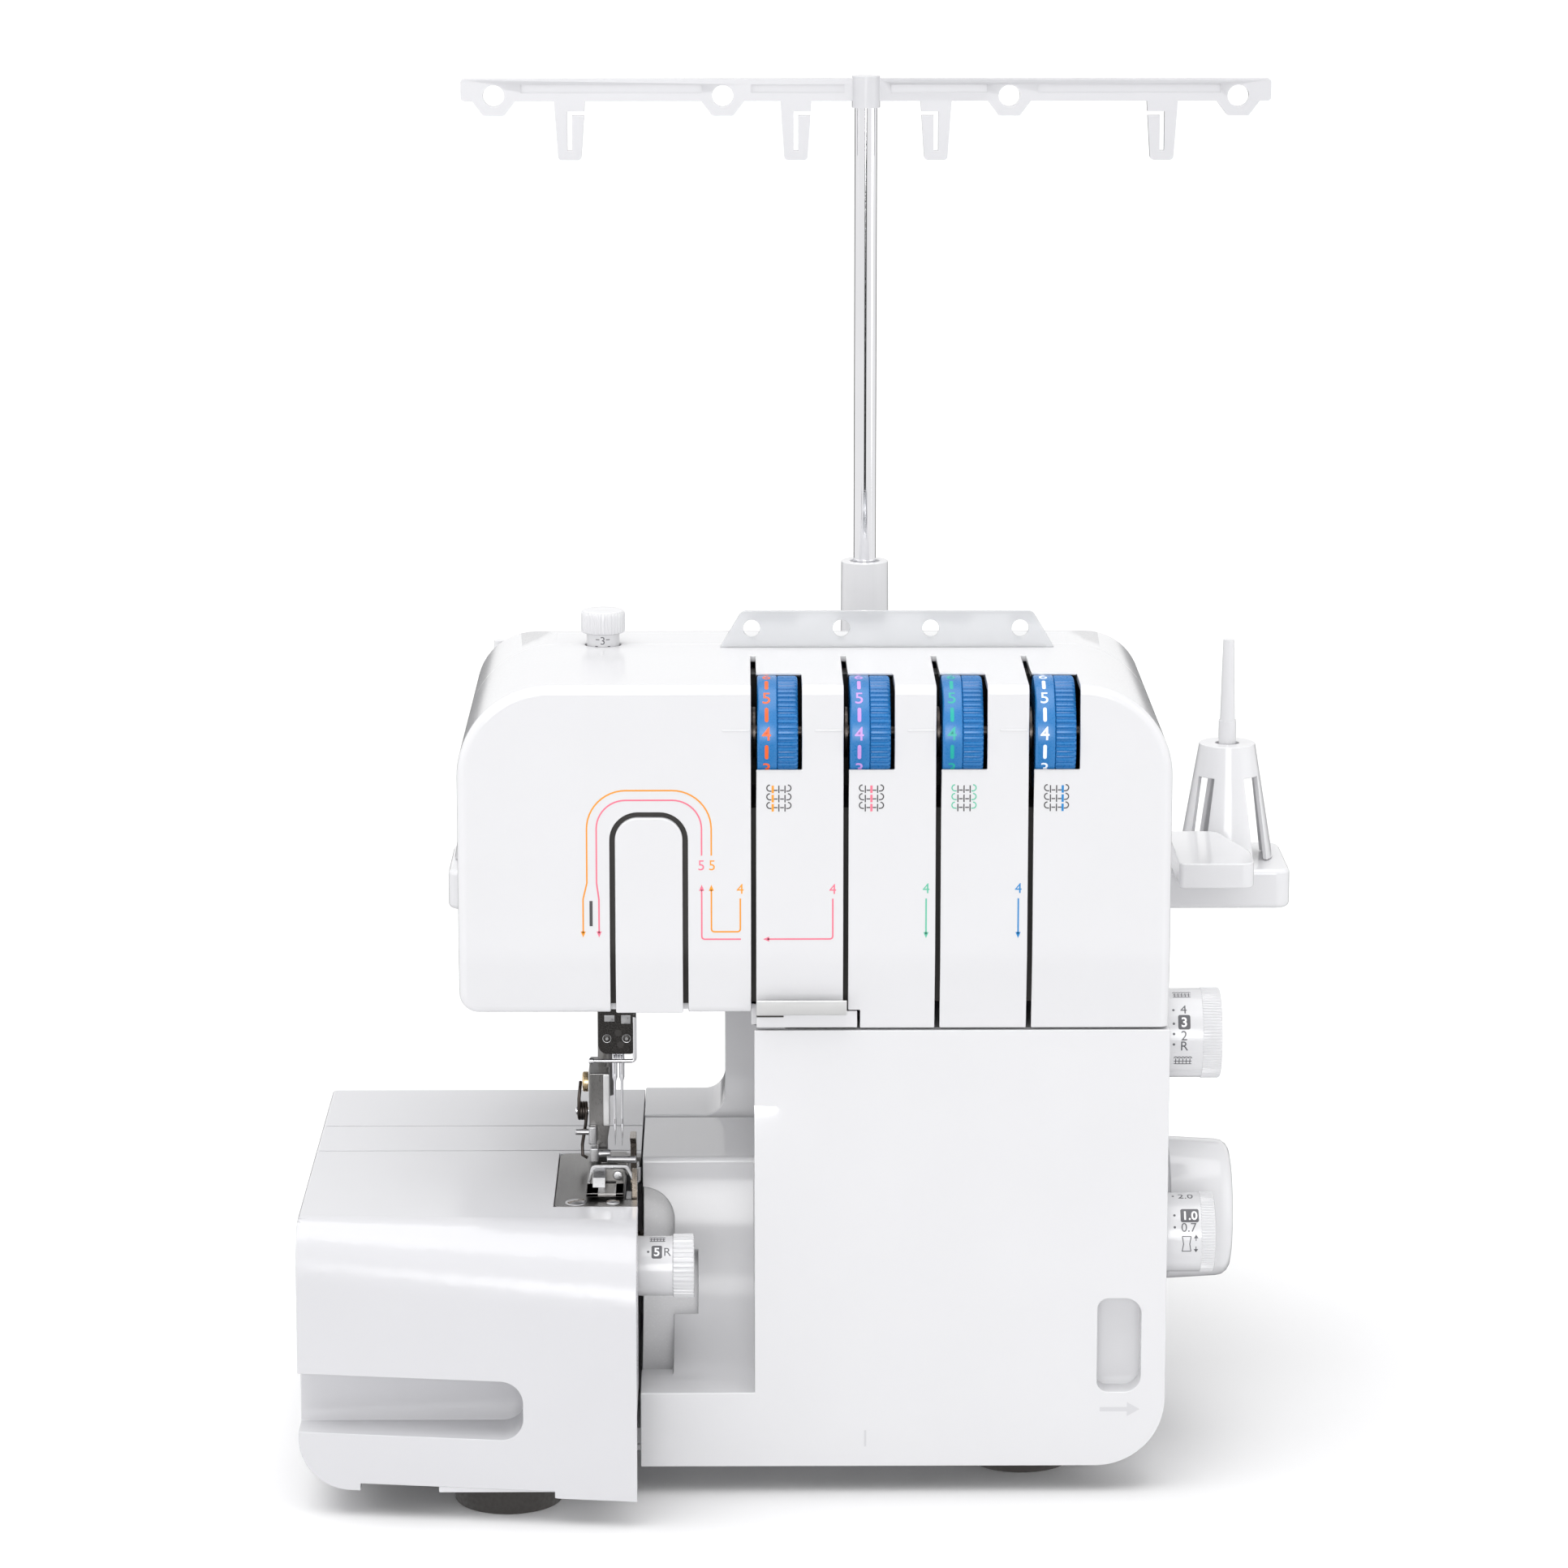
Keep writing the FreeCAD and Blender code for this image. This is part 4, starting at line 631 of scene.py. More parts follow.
def cover_marks():
    """Raised arrow under the front cover's finger well and a short upright bar, drawn in the darker white:
    painted shade.
    """
    level = on_front(COVER_FRONT)
    well_x, bar_x = high("front_cover").x - 16.2, 16.3
    arrow_z, bar_z = 31.5, 17.7
    neck = well_x + 2.6
    bm = bmesh.new()
    upright(bm, (well_x - 7.2, neck), (arrow_z - 0.8, arrow_z + 0.8))
    flat(bm, [(neck, arrow_z - 2.6), (neck + 4.6, arrow_z), (neck, arrow_z + 2.6)])
    upright(bm, (bar_x - 0.4, bar_x + 0.4), (bar_z, bar_z + 6.1))
    printed("cover_marks", bm, SHADED_WHITE, "front_cover", level)


thread_paths()
stitch_icons()
index_lines()
cover_marks()


# ================================ dials at the right ================================

def side_dial(node, knurl, edge, rib_count):
    """White dial: a smooth printed barrel and a finely ribbed rim."""
    start, end = low(node).x, high(node).x
    centre, radius = middle(node), high(node).z - middle(node).z
    bm = bmesh.new()
    stem, barrel, dish = 4.0, radius - 0.3, 0.8
    start_of_knurl = end - knurl
    profile = [(start, stem), (DIAL_SIDE, stem)] + rounded_end(DIAL_SIDE, barrel, 0.5, -1)
    profile += [(start_of_knurl, barrel), (start_of_knurl + 0.2, radius)] + rounded_end(end, radius, edge, 1)
    profile += [(end, radius * 0.7), (end - dish, radius * 0.62), (end - dish, 1.0)]
    ribs = (start_of_knurl + 0.1, end - edge * 0.3, rib_count, 0.35)
    lathe(bm, "x", (centre.y, centre.z), profile, ribs=ribs)
    dial = piece(node + "_knob", bm, WHITE, node)
    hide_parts(node)
    return centre.y, centre.z, barrel


def boxed(bm, pale, words, u, v, height, width):
    """A figure set in a filled rounded box."""
    half_w, half_h, r = width / 2, height / 2 + 0.9, 0.7
    corners = []
    for cu, cv, start in ((u + half_w - r, v + half_h - r, 0), (u - half_w + r, v + half_h - r, 90),
                          (u - half_w + r, v - half_h + r, 180), (u + half_w - r, v - half_h + r, 270)):
        corners += arc(cu, cv, r, start, start + 90, 4)
    flat(bm, corners)
    figures(pale, words, u, v, height, 0.1)


def seam_icon(bm, u, v, width, height):
    """Small picture of a stitched edge: upright strokes between two rows of loops."""
    count = 5
    for k in range(count):
        x = u - width / 2 + width * (k + 0.5) / count
        stroke(bm, [(x, v - height / 2), (x, v + height / 2)], 0.3)
        stroke(bm, arc(x, v + height / 2, width / count / 2, 0, 180, 6), 0.3)
    stroke(bm, [(u - width / 2, v), (u + width / 2, v)], 0.3)
    stroke(bm, [(u - width / 2, v - height / 2), (u + width / 2, v - height / 2)], 0.3)


def length_dial():
    node = "stitch_length_dial"
    y, z, radius = side_dial(node, 7.0, 0.9, 90)
    column, dots = DIAL_SIDE + 7.6, DIAL_SIDE + 3.9
    bm, pale = bmesh.new(), bmesh.new()
    for words, degrees in (("4", 45.5), ("2", 10.2), ("R", -3.3)):
        figures(bm, words, column, along(radius, degrees), 3.6)
    boxed(bm, pale, "3", column + 0.1, along(radius, 27.7), 3.6, 4.4)
    for degrees in (44.3, 25.6, 12.3, -1.2):
        disc(bm, dots, along(radius, degrees), 0.45)
    for degrees in (71.5, -25.6):
        seam_icon(bm, column - 0.3, along(radius, degrees), 6.4, 2.6)
    printed(node + "_marks", bm, GREY, node, on_barrel(y, z, radius), step=1.2)
    printed(node + "_set_figure", pale, PALE_INK, node, on_barrel(y, z, radius + 0.06), step=1.2)


def differential_dial():
    node = "differential_dial"
    y, z, radius = side_dial(node, 5.2, 0.9, 84)
    column, dots = DIAL_SIDE + 8.7, DIAL_SIDE + 4.2
    bm, pale = bmesh.new(), bmesh.new()
    figures(bm, "2.0", column, along(radius, 79.8), 3.4)
    boxed(bm, pale, "1.0", column + 1.0, along(radius, 40.6), 3.4, 6.6)
    figures(bm, "0.7", column + 0.6, along(radius, 22.7), 3.4)
    for degrees in (79.8, 40.7, 22.8):
        disc(bm, dots, along(radius, degrees), 0.45)
    waist, waist_x = along(radius, -1.6), column - 0.2
    for side in (-1, 1):
        bend = [(waist_x + side * (1.1 + 0.5 * abs(k) / 4), waist + k * 0.7) for k in range(-4, 5)]
        stroke(bm, bend, 0.3)
    for end in (-2.8, 2.8):
        stroke(bm, [(waist_x - 1.6, waist + end), (waist_x + 1.6, waist + end)], 0.3)
    arrow_x = column + 3.2
    for degrees, way in ((7.8, 1), (-10.3, -1)):
        level = along(radius, degrees)
        stroke(bm, [(arrow_x, level - way * 1.2), (arrow_x, level + way * 0.1)], 0.3)
        foot = level - way * 0.2
        flat(bm, [(arrow_x, level + way * 1.1), (arrow_x - 0.8, foot), (arrow_x + 0.8, foot)])
    printed(node + "_marks", bm, GREY, node, on_barrel(y, z, radius), step=1.2)
    printed(node + "_set_figure", pale, PALE_INK, node, on_barrel(y, z, radius + 0.06), step=1.2)


def width_dial():
    """Dial in the chute: smooth printed barrel, fluted grip at its outer end."""
    node = "stitch_width_dial"
    start, end = low(node).x, high(node).x
    centre = middle(node)
    radius = high(node).z - centre.z
    barrel, stem = radius - 0.8, 2.0
    grip = end - 7.8
    bm = bmesh.new()
    profile = [(start, stem)] + rounded_end(start, barrel, 0.4, -1)
    profile += [(grip, barrel), (grip + 0.4, radius - 0.1)] + rounded_end(end, radius, 0.8, 1) + [(end, stem)]
    lathe(bm, "x", (centre.y, centre.z), profile, ribs=(grip + 0.3, end - 0.2, 40, 0.5))
    dial = piece(node + "_knob", bm, WHITE, node)
    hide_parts(node)
    row = along(barrel, 44)
    bm, pale = bmesh.new(), bmesh.new()
    seam_icon(bm, grip - 5.4, along(barrel, 76), 5.6, 2.2)
    disc(bm, grip - 8.7, row, 0.45)
    boxed(bm, pale, "5", grip - 5.6, row, 3.4, 3.8)
    figures(bm, "R", grip - 1.9, row, 3.4)
    printed(node + "_marks", bm, GREY, node, on_barrel(centre.y, centre.z, barrel), step=1.2)
    place = on_barrel(centre.y, centre.z, barrel + 0.06)
    printed(node + "_set_figure", pale, PALE_INK, node, place, step=1.2)


length_dial()
differential_dial()
width_dial()


# ================================ pressure dial, handwheel ================================

def pressure_dial():
    node = "pressure_dial"
    centre, top = middle(node), high(node).z
    bm = bmesh.new()
    stem, neck, radius = 2.9, 6.0, 8.0
    neck_z, cap_z = top - 13.4, top - 8.0
    profile = [(low(node).z, stem), (neck_z, stem), (neck_z + 0.2, neck)]
    profile += [(cap_z - 0.6, neck), (cap_z - 0.2, 7.4)] + rounded_end(cap_z, radius, 0.4, -1)
    profile += rounded_end(top, radius, 1.4, 1) + [(top, 3.0), (top, 0.2)]
    lathe(bm, "z", (centre.x, centre.y), profile, ribs=(cap_z - 0.1, top - 0.4, 36, 0.35))
    knob = piece(node + "_knob", bm, WHITE, node)
    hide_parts(node)
    marks = bmesh.new()
    figures(marks, "3", 0.0, top - 10.5, 3.0)
    for side in (-1, 1):
        stroke(marks, [(side * 1.9 - 0.7, top - 10.1), (side * 1.9 + 0.7, top - 10.1)], 0.3)
        stroke(marks, [(side * 2.3 - 0.5, top - 12.6), (side * 2.3 + 0.5, top - 12.6)], 0.3)

    def on_neck(u, v, lift):
        size = neck + lift
        return (centre.x + size * math.sin(u / neck), centre.y - size * math.cos(u / neck), v)
    printed(node + "_marks", marks, GREY, node, on_neck)


def handwheel():
    node = "handwheel"
    centre, radius = middle(node), high(node).z - middle(node).z
    start, end = low(node).x, high(node).x
    profile = [(start, 5.0)] + rounded_end(start, radius - 1.6, 1.0, -1)
    profile += [(start + 2.2, radius - 1.4), (start + 2.8, radius)]
    profile += rounded_end(end, radius - 1.0, 5.0, 1)
    profile += [(end - 0.2, radius - 9.0), (end - 2.4, radius - 11.0)]
    profile += [(end - 2.4, 6.0), (end - 1.6, 5.2), (end - 1.6, 0.3)]
    bm = bmesh.new()
    lathe(bm, "x", (centre.y, centre.z), profile, count=128)
    wheel = piece(node + "_wheel", bm, WHITE, node)
    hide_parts(node)


pressure_dial()
handwheel()


# ================================ needles, clamp and wires ================================

def needle_clamp():
    """Black clamp block with two screws, two dents drawn as matte black discs of painted shade, and the two
    needle sockets open at its top.
    """
    node = "needle_clamp"
    start, end = low(node), high(node)
    front, back = start.y + 0.7, end.y
    bottom = start.z + 3.6
    x0, x1 = start.x + 0.8, end.x - 0.4
    bm = bmesh.new()
    shape = [(x0, end.z), (x0, bottom + 3.0)] + arc(x0 + 3.4, bottom + 3.4, 3.4, 190, 270, 6)
    shape += arc(x1 - 2.0, bottom + 2.0, 2.0, 270, 360, 5) + [(x1, end.z)]
    extruded(bm, "y", (front, back), shape)
    piece("needle_clamp_block", bm, OXIDE, node, 0.4, 3)
    bm = bmesh.new()
    screws, screw_z = (x0 + 3.2, x1 - 3.3), bottom + 5.9
    for x in screws:
        head = rounded_end(front - 0.55, 1.35, 0.25, -1) + [(front + 0.4, 1.35)]
        lathe(bm, "y", (x, screw_z), head, count=32)
    heads = piece("needle_clamp_screw_heads", bm, OXIDE, node)
    bm = bmesh.new()
    for x in screws:
        lathe(bm, "y", (x, screw_z), [(front - 0.62, 0.62), (front - 0.5, 0.62)], count=6)
    piece("needle_clamp_screw_sockets", bm, STEEL, node)
    bm = bmesh.new()
    for x in screws:
        tube(bm, [(u, front - 0.1, v) for u, v in arc(x, screw_z, 1.45, 0, 360, 24)], 0.16, 8)
    piece("needle_clamp_screw_rims", bm, STEEL, node)
    # Matte black discs in the two dents: painted shade.
    bm = bmesh.new()
    for x, z in ((x0 + 7.3, bottom + 8.0), (x0 + 8.1, bottom + 3.6)):
        lathe(bm, "y", (x, z), [(front - 0.05, 1.25), (front + 0.1, 1.25)], count=24)
    piece("needle_clamp_dent_shade", bm, BLACK, node)
    bm = bmesh.new()
    block(bm, (x0 + 2.3, x0 + 6.0), (front - 0.08, front + 0.3), (bottom + 12.2, bottom + 14.6))
    block(bm, (x1 - 5.2, x1 - 1.8), (front - 0.08, front + 0.3), (bottom + 11.4, bottom + 14.6))
    piece("needle_clamp_windows", bm, STEEL, node, 0.1)
    bm = bmesh.new()
    for x in (NEEDLE_X - 1.3, NEEDLE_X + 0.1, NEEDLE_X + 1.3):
        lathe(bm, "z", (x, front + 2.0), [(bottom - 2.6, 0.75), (bottom + 0.5, 0.75)], count=20)
    piece("needle_clamp_tips", bm, CHROME, node)
    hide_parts(node)


def needles():
    """Two needles: round shank, thin blade with an eye, and a point."""
    node = "needles"
    bottom, top = low(node).z, high(node).z
    y = middle(node).y
    bm = bmesh.new()
    for x in (low(node).x + 1.0, high(node).x - 1.0):
        lathe(bm, "z", (x, y), [
            (bottom, 0.06), (bottom + 3.4, 0.34), (bottom + 5.4, 0.42),
            (bottom + 8.4, 0.55), (bottom + 9.6, 0.58), (bottom + 10.8, 0.44),
            (top - 20.2, 0.45), (top - 18.6, 0.95), (top, 0.98)], count=24)
    pair = piece("needle_pair", bm, CHROME, node)
    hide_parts(node)
    # A black patch where each eye is: painted shade in the hole.
    bm = bmesh.new()
    for x in (low(node).x + 1.0, high(node).x - 1.0):
        block(bm, (x - 0.13, x + 0.13), (y - 0.6, y - 0.3), (bottom + 8.4, bottom + 10.2))
    piece("needle_eye_shade", bm, BLACK, node)


def thread_wire():
    node = "thread_wire"
    start, end = low(node), high(node)
    x, y, z = end.x - 0.8, start.y + 0.8, start.z + 3.8
    bm = bmesh.new()
    bend = [(x - 1.2 + 1.2 * math.sin(math.radians(a)), y, z + 1.2 - 1.2 * math.cos(math.radians(a)))
            for a in (0, 30, 60, 90)]
    wire, knob = 0.7, 1.05
    run = [(x, y, end.z), (x, y, z + 3.0)] + bend[::-1] + [(x - 8.0, y, z), (start.x + 1.2, y, z)]
    tube(bm, run, wire, 16)
    ends = [(start.x, wire), (start.x + 0.3, knob), (start.x + 1.6, knob), (start.x + 1.9, wire)]
    lathe(bm, "x", (y, z), ends, count=20)
    bent = piece("thread_wire_bent", bm, CHROME, node)
    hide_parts(node)


# ================================ presser foot ================================

def presser_foot():
    """Foot with its ankle, toe bracket, tongue and pins; its spring and screw are made in foot_spring."""
    node = "presser_foot"
    start, end = low(node), high(node)
    sole_z = start.z
    left, right = PRESSER_LEFT, PRESSER_LEFT + 7.4
    bm = bmesh.new()
    extruded(bm, "y", (start.y + 43.5, start.y + 53.0), [
        (left, end.z + 1.6), (left, sole_z + 14.2),
        (left + 2.4, sole_z + 9.2), (left + 2.4, sole_z + 2.2),
        (right - 0.8, sole_z + 2.2), (right - 0.8, sole_z + 9.2),
        (right, sole_z + 14.2), (right, end.z + 1.6)])
    ankle = piece("presser_ankle", bm, PLATE, node, 0.5, 3)
    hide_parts(node)
    bm = bmesh.new()
    # A strip of brighter steel on the ankle's front edge: painted highlight.
    block(bm, (right - 2.3, right + 0.05), (start.y + 43.2, start.y + 45.0), (sole_z + 14.5, end.z + 1.2))
    piece("presser_ankle_edge_highlight", bm, CLIP, node, 0.4, 3)
    bm = bmesh.new()
    block(bm, (left - 0.4, left + 5.6), (start.y + 54.0, start.y + 74.0), (sole_z + 20.0, end.z))
    piece("presser_socket", bm, PLATE, node, 0.5)
    bm = bmesh.new()
    block(bm, (left - 0.2, left + 2.6), (start.y + 40.0, start.y + 43.5), (sole_z + 8.4, sole_z + 15.2))
    block(bm, (left + 0.4, left + 3.4), (start.y + 38.0, start.y + 43.8), (sole_z + 2.2, sole_z + 7.6))
    piece("presser_clevis", bm, STEEL, node, 0.5)
    bm = bmesh.new()
    side_pin = rounded_end(left - 5.2, 1.1, 0.5, -1) + [(left + 0.6, 1.1)]
    lathe(bm, "x", (start.y + 42.0, sole_z + 12.8), side_pin, count=24)
    lathe(bm, "x", (start.y + 41.0, sole_z + 4.8), rounded_end(left + 0.8, 1.7, 0.3, -1)
          + rounded_end(right + 0.4, 1.7, 0.3, 1), count=28)
    piece("presser_pins", bm, STEEL, node)
    bm = bmesh.new()
    back, edge, toe = end.y - 18.0, end.x - 4.2, (end.x - 7.4, end.x - 4.2)
    level = (sole_z, sole_z + 1.5)
    block(bm, (start.x, start.x + 4.6), (start.y, back), level)
    block(bm, toe, (start.y, NEEDLE_Y - 4.0), level)
    block(bm, toe, (NEEDLE_Y + 5.0, back), level)
    block(bm, (edge, edge + 1.0), (NEEDLE_Y - 6.0, NEEDLE_Y + 7.0), level)
    block(bm, (start.x, edge), (start.y + 41.0, back), (sole_z, sole_z + 1.6))
    block(bm, (start.x, edge), (start.y, start.y + 13.0), level)
    piece("presser_sole", bm, PLATE, node, 0.3)
    bm = bmesh.new()
    front = start.y + 13.4
    path = [(start.x + 0.2, sole_z + 1.2), (start.x + 1.2, sole_z + 6.0)]
    path += arc(start.x + 3.0, sole_z + 6.4, 1.6, 160, 90, 5)
    path += arc(end.x - 3.8, sole_z + 6.6, 1.4, 90, 20, 5)
    path += [(end.x + 0.3, sole_z + 1.6)]
    inner = [(u + (0.9 if u < PRESSER_LEFT + 7 else -0.9), v - 1.1) for u, v in path]
    extruded(bm, "y", (front, front + 1.3), path + inner[::-1])
    tube(bm, [(end.x + 0.3, front + 0.6, sole_z + 1.8), (end.x + 0.9, front + 0.6, sole_z + 2.4),
              (end.x + 1.0, front + 0.6, sole_z + 7.2)], 0.7)
    piece("presser_toe_bracket", bm, STEEL, node, 0.25)
    bm = bmesh.new()
    block(bm, (start.x + 2.0, end.x - 4.6), (front + 1.2, front + 1.9), (sole_z + 0.8, sole_z + 6.4))
    piece("presser_toe_plate", bm, PLATE, node, 0.2)
    bm = bmesh.new()
    lathe(bm, "y", (end.x - 6.6, sole_z + 4.2), rounded_end(front - 0.2, 1.7, 0.4, -1)
          + [(front + 2.2, 1.7)], count=32)
    piece("presser_toe_rivet", bm, STEEL, node)
    bm = bmesh.new()
    lip = front - 6.0
    extruded(bm, "x", (start.x + 2.2, start.x + 6.8), [
        (front + 1.0, sole_z + 7.2), (lip + 1.6, sole_z + 4.6), (lip, sole_z + 0.8),
        (lip + 1.0, sole_z + 0.6), (lip + 2.6, sole_z + 3.8), (front + 1.0, sole_z + 6.0)])
    piece("presser_tongue", bm, STEEL, node, 0.25)
    bm = bmesh.new()
    lathe(bm, "x", (start.y + 26.0, sole_z + 6.8), rounded_end(left + 6.8, 1.3, 0.3, -1)
          + rounded_end(end.x - 0.2, 1.3, 0.3, 1), count=28)
    piece("presser_thread_bar", bm, STEEL, node)


def foot_spring():
    """Torsion spring on the left of the ankle, held by a screw, its lower leg on the sole."""
    node = "foot_spring"
    start, end, centre = low(node), high(node), middle(node)
    radius, wire = 2.9, 0.62
    turns, steps = 3, 28
    bm = bmesh.new()
    points = [(start.x + 1.3, centre.y + 1.0, end.z + 6.2), (start.x + 1.1, centre.y - 2.2, end.z + 4.0),
              (start.x + 0.8, centre.y - 3.2, end.z + 1.2)]
    points += [(start.x + 0.7 + (end.x - start.x - 1.4) * k / (turns * steps),
                centre.y - radius * math.cos(2 * math.pi * k / steps),
                centre.z - radius * math.sin(2 * math.pi * k / steps)) for k in range(turns * steps + 1)]
    points += [
        (end.x - 1.0, centre.y - 2.6, centre.z - 4.0), (start.x + 1.9, centre.y - 3.0, centre.z - 12.0),
        (start.x + 2.0, centre.y - 3.4, centre.z - 16.0), (start.x + 3.8, centre.y - 4.0, centre.z - 16.8),
    ]
    tube(bm, points, wire, 12)
    coil = piece("foot_spring_coil", bm, DARK_STEEL_AND_SHADE, node)
    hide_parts(node)
    bm = bmesh.new()
    level = end.z + 6.2
    head = rounded_end(end.x - 2.2, 3.7, 0.7, -1) + [(end.x - 0.1, 3.7)]
    lathe(bm, "x", (centre.y + 1.5, level), head, count=40)
    piece("foot_spring_screw", bm, BRASS, node)
    bm = bmesh.new()
    lathe(bm, "x", (centre.y, centre.z), rounded_end(start.x - 0.6, 1.5, 0.4, -1) + [(end.x, 1.5)], count=28)
    piece("foot_spring_pin", bm, CHROME, node)


def plate_screws():
    """Slotted countersunk screws of the needle plate, one large and one small."""
    node = "plate_screws"
    y, z = middle(node).y, high(node).z
    bm = bmesh.new()
    slot = bmesh.new()
    for x, radius in ((low(node).x + 3.4, 3.9), (high(node).x - 2.6, 2.5)):
        crown = 0.75
        lathe(bm, "z", (x, y), [(z - 1.6, radius - 0.4), (z - 0.85, radius)]
              + [(z - 0.85 + crown * math.sin(math.radians(a)), radius * math.cos(math.radians(a * 0.92)))
                 for a in (15, 30, 45, 60, 75, 89)], count=48)
        turn = math.radians(38 if radius > 3 else 12)
        reach = Vector((math.cos(turn), math.sin(turn))) * radius * 0.86
        side = Vector((-math.sin(turn), math.cos(turn))) * 0.42
        spot = Vector((x, y))
        corners = [spot - reach - side, spot + reach - side, spot + reach + side, spot - reach + side]
        extruded(slot, "z", (z - 0.6, z - 0.08), [tuple(corner) for corner in corners])
    heads = piece("plate_screw_heads", bm, STEEL, node)
    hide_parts(node)
    # The slots are not cut: a dark bar across each head paints their shade.
    piece("plate_screw_slot_shade", slot, BRONZE, node)


def thread_clip():
    """Steel plate with a painted highlight along its rim, a white wall below it and a black block of painted
    shade in the slot between them.
    """
    node = "thread_clip"
    start, end = low(node), high(node)
    right, shelf_z = end.x - 3.8, start.z + 6.0
    bm = bmesh.new()
    block(bm, (start.x, right), (start.y, start.y + 1.0), (shelf_z, end.z))
    plate = piece("thread_clip_plate", bm, CLIP, node, 0.2)
    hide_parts(node)
    # A white wire round the plate's edge: painted highlight.
    bm = bmesh.new()
    edge = [(start.x + 0.3, end.z - 0.3), (right - 0.3, end.z - 0.3), (right - 0.3, shelf_z + 0.3),
            (start.x + 0.3, shelf_z + 0.3), (start.x + 0.3, end.z - 0.3)]
    tube(bm, [(u, start.y + 0.2, v) for u, v in edge], 0.2, 8)
    piece("thread_clip_rim_highlight", bm, LIT_WHITE, node)
    bm = bmesh.new()
    block(bm, (start.x, end.x), (end.y - 1.0, end.y), (start.z, shelf_z))
    block(bm, (start.x, right), (start.y + 1.0, end.y), (shelf_z - 0.4, shelf_z + 0.2))
    piece("thread_clip_wall", bm, WHITE, node, 0.2)
    # A black block in the slot: painted shade.
    bm = bmesh.new()
    block(bm, (start.x, start.x + 9.6), (end.y - 1.4, end.y - 0.9), (shelf_z - 2.2, shelf_z - 0.4))
    piece("thread_clip_slot_shade", bm, BLACK, node, 0.1)


thread_clip()
needle_clamp()
needles()
thread_wire()
presser_foot()
foot_spring()
plate_screws()


# ================================ camera, light, floor ================================

def build_camera():
    camera = bpy.data.objects.new("camera", bpy.data.cameras.new("camera"))
    bpy.context.scene.collection.objects.link(camera)
    camera.location = (-0.0293, -1.9748, 0.6494)
    down, aside = math.radians(11.7), math.radians(0.5)
    heading = Vector((math.sin(aside) * math.cos(down), math.cos(aside) * math.cos(down), -math.sin(down)))
    camera.rotation_mode = "QUATERNION"
    camera.rotation_quaternion = heading.to_track_quat("-Z", "Y")
    camera.data.sensor_width = 36
    camera.data.lens = 124.84
    camera.data.clip_start = 0.05
    camera.data.clip_end = 60
    bpy.context.scene.camera = camera


def lamp(name, kind, place, aim, power, size):
    data = bpy.data.lights.new(name, kind)
    data.energy = power
    if kind == "SUN":
        data.angle = math.radians(size)
    else:
        data.shape = "RECTANGLE"
        data.size, data.size_y = size
    holder = bpy.data.objects.new(name, data)
    bpy.context.scene.collection.objects.link(holder)
    holder.location = place
    holder.rotation_mode = "QUATERNION"
    holder.rotation_quaternion = (Vector(aim) - Vector(place)).to_track_quat("-Z", "Y")
    return holder


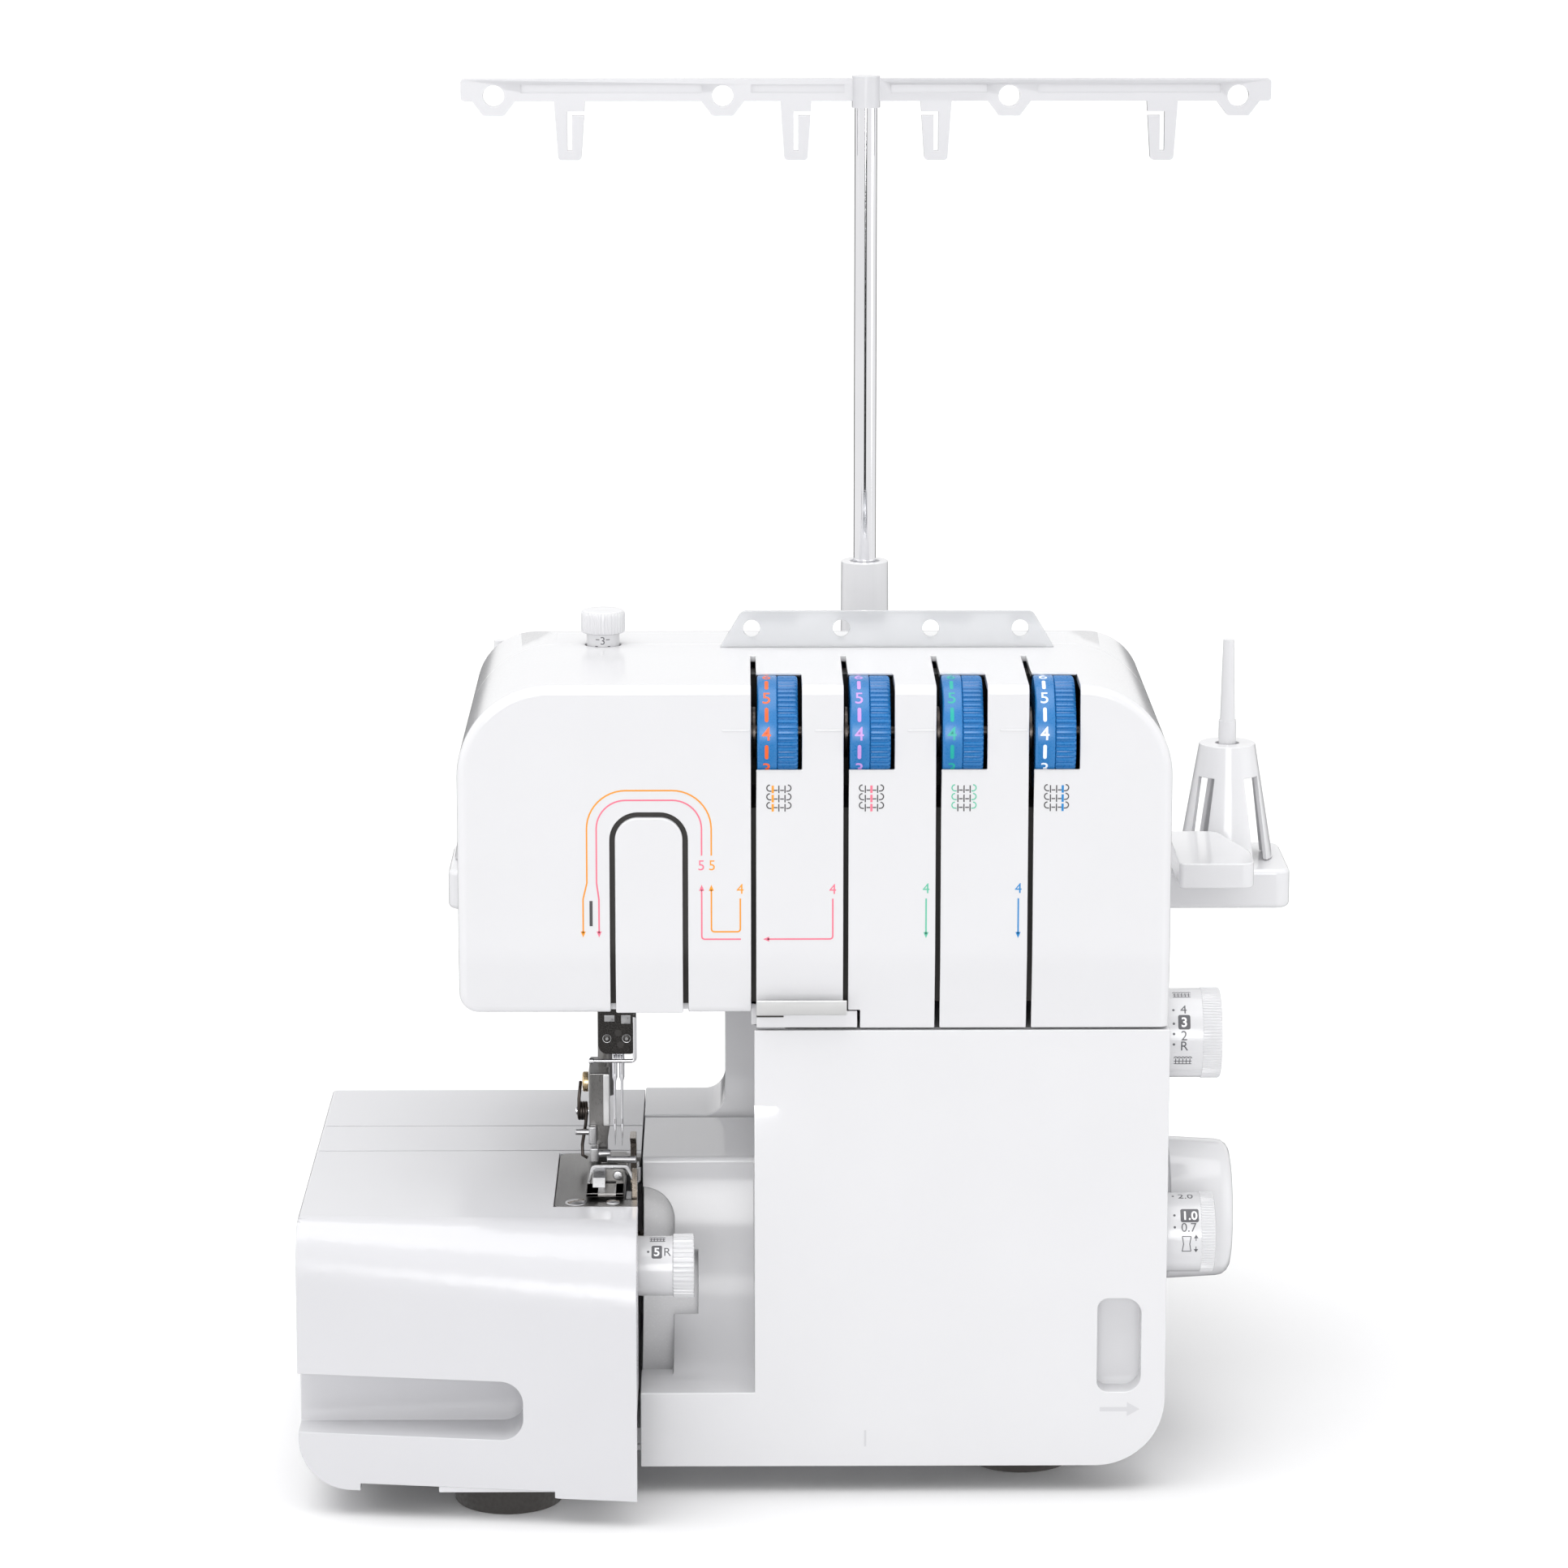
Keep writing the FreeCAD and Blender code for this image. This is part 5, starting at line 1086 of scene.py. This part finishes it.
def build_world():
    """Pale studio.  Below the horizon, reflections see white with dark bands ahead and behind."""
    world = bpy.data.worlds.new("studio")
    bpy.context.scene.world = world
    world.use_nodes = True
    nodes, links = world.node_tree.nodes, world.node_tree.links
    sky = nodes["Background"]
    sky.inputs["Color"].default_value = (1, 1, 1, 1)
    place = nodes.new("ShaderNodeTexCoord")
    split = nodes.new("ShaderNodeSeparateXYZ")
    links.new(place.outputs["Generated"], split.inputs["Vector"])

    def ranged(value, start, end, first, last):
        made = nodes.new("ShaderNodeMapRange")
        made.interpolation_type = "SMOOTHSTEP"
        for name, number in (("From Min", start), ("From Max", end), ("To Min", first), ("To Max", last)):
            made.inputs[name].default_value = number
        links.new(value, made.inputs["Value"])
        return made.outputs["Result"]

    def combined(operation, one, two):
        made = nodes.new("ShaderNodeMath")
        made.operation = operation
        for socket, value in zip(made.inputs, (one, two)):
            if isinstance(value, float):
                socket.default_value = value
            else:
                links.new(value, socket)
        return made.outputs["Value"]

    links.new(ranged(split.outputs["Z"], 0.0, 1.0, 0.46, 0.80), sky.inputs["Strength"])
    facing = combined("ARCTAN2", split.outputs["X"], combined("MULTIPLY", split.outputs["Y"], -1.0))
    turned = combined("ABSOLUTE", facing, 0.0)
    ahead = ranged(turned, 0.12, 0.28, 0.0, 1.0)
    behind = ranged(turned, 2.25, 2.6, 1.0, 0.0)
    bands = combined("MULTIPLY", ahead, behind)
    above = ranged(split.outputs["Z"], -0.09, -0.05, 0.0, 1.0)
    lit = combined("MAXIMUM", bands, above)
    shown = nodes.new("ShaderNodeBackground")
    shown.inputs["Color"].default_value = (1, 1, 1, 1)
    links.new(combined("ADD", combined("MULTIPLY", lit, 0.95), 0.03), shown.inputs["Strength"])
    ray = nodes.new("ShaderNodeLightPath")
    mix = nodes.new("ShaderNodeMixShader")
    links.new(ray.outputs["Is Glossy Ray"], mix.inputs["Fac"])
    links.new(sky.outputs["Background"], mix.inputs[1])
    links.new(shown.outputs["Background"], mix.inputs[2])
    links.new(mix.outputs["Shader"], nodes["World Output"].inputs["Surface"])


def build_floor():
    made, nodes, links, base = shader("pale_floor")
    colour = tinted(nodes, links, noise(nodes, links, 1.5), (0.84, 0.84, 0.845), 0.004)
    links.new(colour, base.inputs["Base Color"])
    base.inputs["Roughness"].default_value = 0.7
    base.inputs["Specular IOR Level"].default_value = 0.1
    bm = bmesh.new()
    bmesh.ops.create_grid(bm, x_segments=8, y_segments=8, size=14)
    mesh = bpy.data.meshes.new("floor")
    bm.to_mesh(mesh)
    bm.free()
    floor = bpy.data.objects.new("floor", mesh)
    mesh.materials.append(made)
    bpy.context.scene.collection.objects.link(floor)
    floor.visible_glossy = False


build_camera()
build_world()
build_floor()
lamp("key", "AREA", (-0.2, -0.75, 1.2), (-0.03, -0.1, 0.2), 0.8, (1.2, 0.7))
lamp("front", "SUN", (-0.08, -1.6, 0.27), (0, 0, 0.02), 1.12, 28)
lamp("right", "SUN", (1.6, -0.5, 0.6), (0, 0, 0.1), 0.5, 50)
lamp("above", "SUN", (-0.3, -0.2, 2.2), (0, 0, 0.1), 1.75, 60)
lamp("left", "SUN", (-1.6, -0.2, 0.7), (0, 0, 0.1), 0.4, 50)
fill = lamp("fill", "AREA", (-0.036, -0.097, 0.150), (-0.038, -0.03, 0.07), 0.012, (0.04, 0.02))
fill.visible_camera = False
fill.visible_glossy = False
bpy.context.scene.view_settings.view_transform = "Standard"
